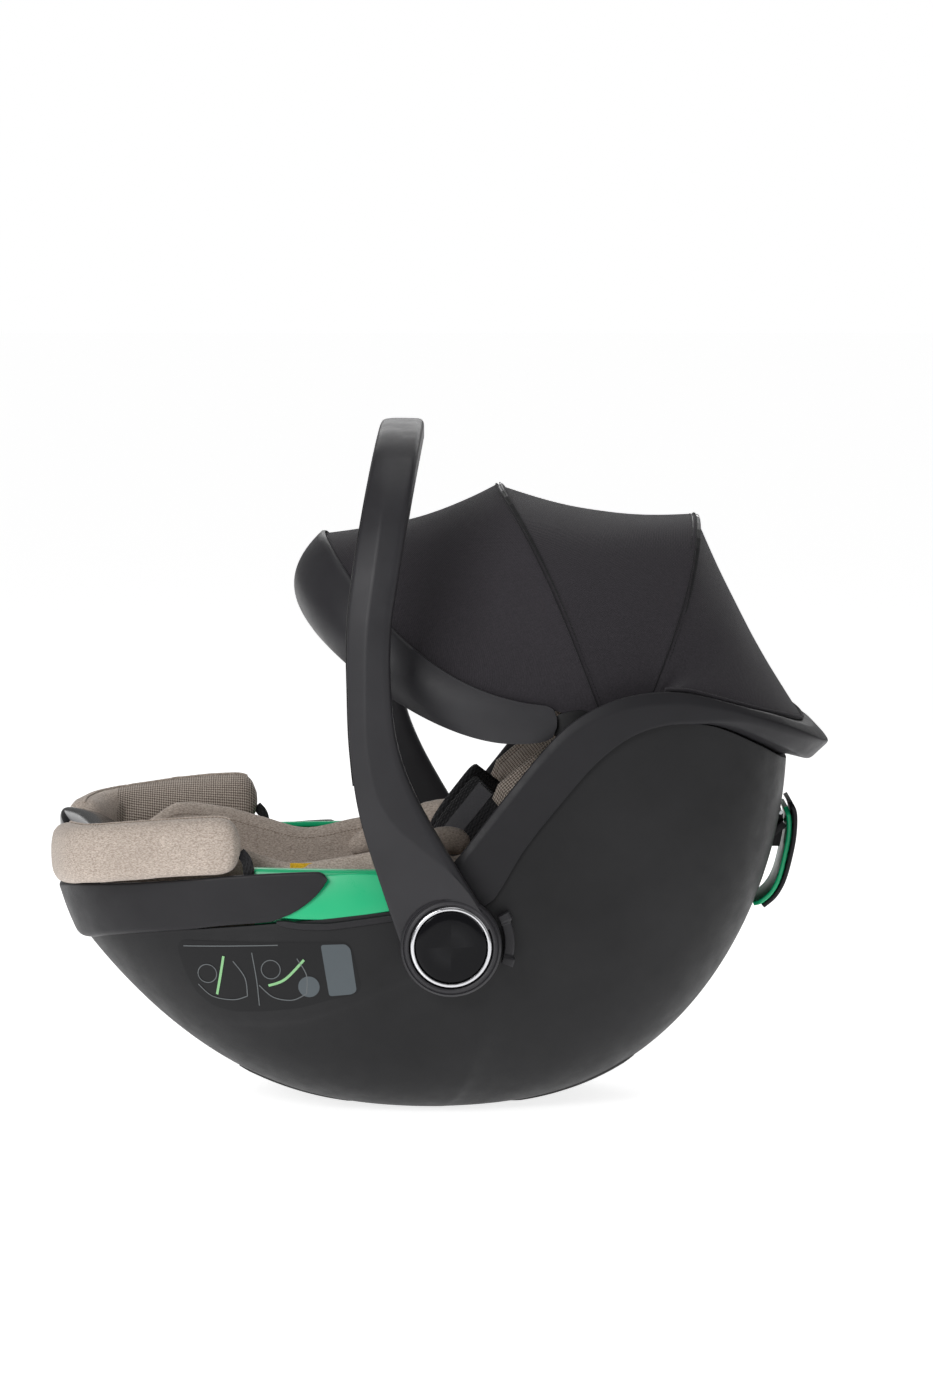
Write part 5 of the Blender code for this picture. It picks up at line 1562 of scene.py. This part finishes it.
def side_label(label, side):
    """Printed film on the side wall: plain pictogram strokes and a grey tab, with no words."""
    film = [(-212, 154), (-216, 148), (-210, 128), (-200, 108), (-186, 97), (-168, 93), (-140, 95),
            (-112, 99), (-86, 107), (-64, 112), (-60, 118), (-68, 152), (-73, 157), (-110, 156), (-160, 155)]
    patch(f"label_film_{label}", filleted(film, 6.0, 4), side, "film_dark", 0.35)
    tab = [(-94, 154), (-73, 155), (-69, 151), (-64, 115), (-68, 112), (-87, 110)]
    patch(f"label_tab_{label}", filleted(tab, 2.5, 4), side, "film_grey", 0.6)
    outlines = {
        "rule": [(-210, 149), (-170, 151), (-130, 153)],
        "base_a": [(-198, 116), (-186, 106), (-168, 104), (-156, 108)],
        "back_a": [(-156, 108), (-158, 124), (-168, 138)],
        "base_b": [(-146, 118), (-134, 108), (-118, 106), (-106, 112)],
        "back_b": [(-106, 112), (-106, 128), (-114, 142)],
        "divider": [(-152, 146), (-148, 122), (-146, 100)],
    }
    belts = {
        "belt_a": [(-176, 142), (-179, 124), (-182, 108)],
        "belt_b": [(-138, 118), (-124, 124), (-108, 141)],
    }
    for strokes, look, half_width in ((outlines, "film_line", 0.45), (belts, "film_green", 1.1)):
        for name, points in strokes.items():
            stroke(f"label_{name}_{label}", points, side, look, half_width)
    for name, centre, radius in (("dial_a", (-190, 126), 8.0), ("dial_b", (-136, 132), 8.0)):
        ring = [(centre[0] + radius * math.cos(a), centre[1] + radius * math.sin(a)) for a in circle(32)]
        stroke(f"label_{name}_{label}", ring + ring[:1], side, "film_line", 0.4, smooth=False)
    dot = [(-104 + 9 * math.cos(a), 118 + 9 * math.sin(a)) for a in circle(36)]
    patch(f"label_dot_{label}", dot, side, "film_grey", 0.7)


def spaced(outline, step):
    """A closed outline with extra points along its long edges, so that it follows a curved wall."""
    made = []
    for start, end in zip(outline, outline[1:] + outline[:1]):
        parts = max(1, round(math.dist(start, end) / step))
        for k in range(parts):
            made.append((start[0] + (end[0] - start[0]) * k / parts,
                         start[1] + (end[1] - start[1]) * k / parts))
    return made


def stroke(name, points, side, look, half_width, smooth=True):
    """A printed line on the side wall."""
    flat = [tuple(p) for p in through([(x, 0, z) for x, z in points], 24)] if smooth else [
        (x, 0, z) for x, z in points]
    spots = [wall_spot(x, side, z, 0.75) for x, y, z in flat]
    rows = []
    for i, (spot, normal) in enumerate(spots):
        ahead, behind = spots[min(i + 1, len(spots) - 1)][0], spots[max(i - 1, 0)][0]
        across = (ahead - behind).cross(normal).normalized()
        rows.append([tuple(spot + across * half_width), tuple(spot + normal * 0.08),
                     tuple(spot - across * half_width)])
    grid(name, rows, look, "carrier")


def sewn_tag():
    """Blank yellow tag sewn to the cover beside the right belt guide, slightly wavy."""
    rows = []
    for i in range(21):
        x = -121 + 29 * i / 20
        y = -133.0 + 0.5 * math.sin(i * 0.6)
        rows.append([(x, y - 3.0 * j / 8, 216.5 - 12.5 * j / 8) for j in range(9)])
    made = grid("blank_tag", rows, "yellow_fabric", "carrier", smooth_angle=80)
    solid = made.modifiers.new("thickness", "SOLIDIFY")
    solid.thickness = 0.8 * MM


# ---------------------------------------------------------------- carried-over CAD pieces

def dress_frame():
    """Finish the CAD nodes that stay in view."""
    kept = {
        "foam_liner": "foam", "belt_hook_bracket": "rim_plastic",
        "hub_plate_left": "rim_plastic", "hub_plate_right": "rim_plastic",
        "hub_bolt_left": "steel", "hub_bolt_right": "steel", "hub_spring_left": "steel",
        "hub_spring_right": "steel", "canopy_pivot_left": "steel", "canopy_pivot_right": "steel",
        "canopy_rear_rib": "trim_plastic", "canopy_middle_rib": "trim_plastic",
        "headrest_handle": "trim_plastic", "harness_yoke": "steel",
    }
    for node, look in kept.items():
        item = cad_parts[node]
        dress(item, look)
        if not node.startswith(("hub_spring", "foam")):
            bevelled(item)


# ---------------------------------------------------------------- floor, light, camera

# The room shows white to the camera and lights the seat less; the floor glows a little itself
ROOM_LIGHT = 0.22
FLOOR_GLOW = 0.78
FLOOR_HALF = 30
FLOOR_DROP = 0.0004

# The camera's lens follows from its distance and the seat's size in the frame
CAMERA_TARGET = (0.0278, 0.0, 0.342)
CAMERA_DISTANCE = 4.3
CAMERA_ELEVATION = 5.5
FRAME_HEIGHT_PIXELS = 1400
PIXELS_PER_METRE = 1151.4
SENSOR_MM = 36.0


def floor():
    """Plain pale floor, just under the seat."""
    made = bpy.data.meshes.new("floor")
    corners = [(-1, -1), (1, -1), (1, 1), (-1, 1)]
    made.from_pydata([(FLOOR_HALF * a, FLOOR_HALF * b, -FLOOR_DROP) for a, b in corners], [],
                     [(0, 1, 2, 3)])
    item = bpy.data.objects.new("floor", made)
    bpy.context.scene.collection.objects.link(item)
    finish = bpy.data.materials.new("floor")
    finish.use_nodes = True
    shader = finish.node_tree.nodes["Principled BSDF"]
    shader.inputs["Base Color"].default_value = (0.93, 0.93, 0.93, 1)
    shader.inputs["Roughness"].default_value = 0.28
    shader.inputs["Emission Color"].default_value = (1, 1, 1, 1)
    shader.inputs["Emission Strength"].default_value = FLOOR_GLOW
    made.materials.append(finish)


def aimed(name, data, spot, direction):
    """Put a light or camera at a spot, looking along a direction."""
    item = bpy.data.objects.new(name, data)
    item.location = spot
    item.rotation_mode = "QUATERNION"
    item.rotation_quaternion = direction.to_track_quat("-Z", "Y")
    bpy.context.scene.collection.objects.link(item)
    return item


def area_light(name, spot, aim, size, power):
    """A white soft box."""
    data = bpy.data.lights.new(name, "AREA")
    data.shape = "RECTANGLE"
    data.size, data.size_y = size
    data.energy = power
    aimed(name, data, spot, Vector(aim) - Vector(spot))


def studio():
    """Floor, white room and four soft lights."""
    floor()
    world = bpy.data.worlds.new("studio")
    world.use_nodes = True
    tree = world.node_tree
    seen = tree.nodes.new("ShaderNodeLightPath").outputs["Is Camera Ray"]
    background = tree.nodes["Background"]
    tree.links.new(ranged(tree, seen, ROOM_LIGHT, 1.0, 0.0, 1.0), background.inputs["Strength"])
    background.inputs["Color"].default_value = (1, 1, 1, 1)
    bpy.context.scene.world = world
    area_light("key", (-1.5, -2.4, 1.5), (0, 0, 0.25), (1.6, 1.2), 48)
    area_light("fill", (2.2, -1.6, 1.4), (0.1, 0, 0.25), (1.2, 1.6), 4)
    area_light("top", (0.1, 0.1, 2.8), (0, 0, 0.2), (2.0, 2.0), 16)
    area_light("back", (0.3, 2.4, 1.6), (0, 0, 0.3), (2.4, 1.2), 18)
    bpy.context.scene.view_settings.view_transform = "Standard"


def camera():
    """Camera beside the seat, a little above it."""
    data = bpy.data.cameras.new("camera")
    data.sensor_width = SENSOR_MM
    data.lens = SENSOR_MM * CAMERA_DISTANCE * PIXELS_PER_METRE / FRAME_HEIGHT_PIXELS
    data.clip_end = 100.0
    tilt = math.radians(CAMERA_ELEVATION)
    back = Vector((0, -math.cos(tilt), math.sin(tilt)))
    spot = Vector(CAMERA_TARGET) + back * CAMERA_DISTANCE
    bpy.context.scene.camera = aimed("camera", data, spot, -back)


# ---------------------------------------------------------------- the whole seat

make_looks()
shell()
rocker_strips()
foot_rim()
head_rim()
handle()
visor()
canopy()
seat_cover()
insert_cushion()
headrest_pad()
headrest_wrap()
harness()
buckle()
length_adjuster()
front_lip()
belt_hook()
sewn_tag()
for label, side in SIDES:
    hub_buttons(label, side)
    adapter_trigger(label, side)
    side_bolster(label, side)
    foot_wing(label, side)
    wing_clip(label, side)
    belt_guide(label, side)
    belt_cheek(label, side)
    shell_lip(label, side)
    side_label(label, side)
dress_frame()
studio()
camera()
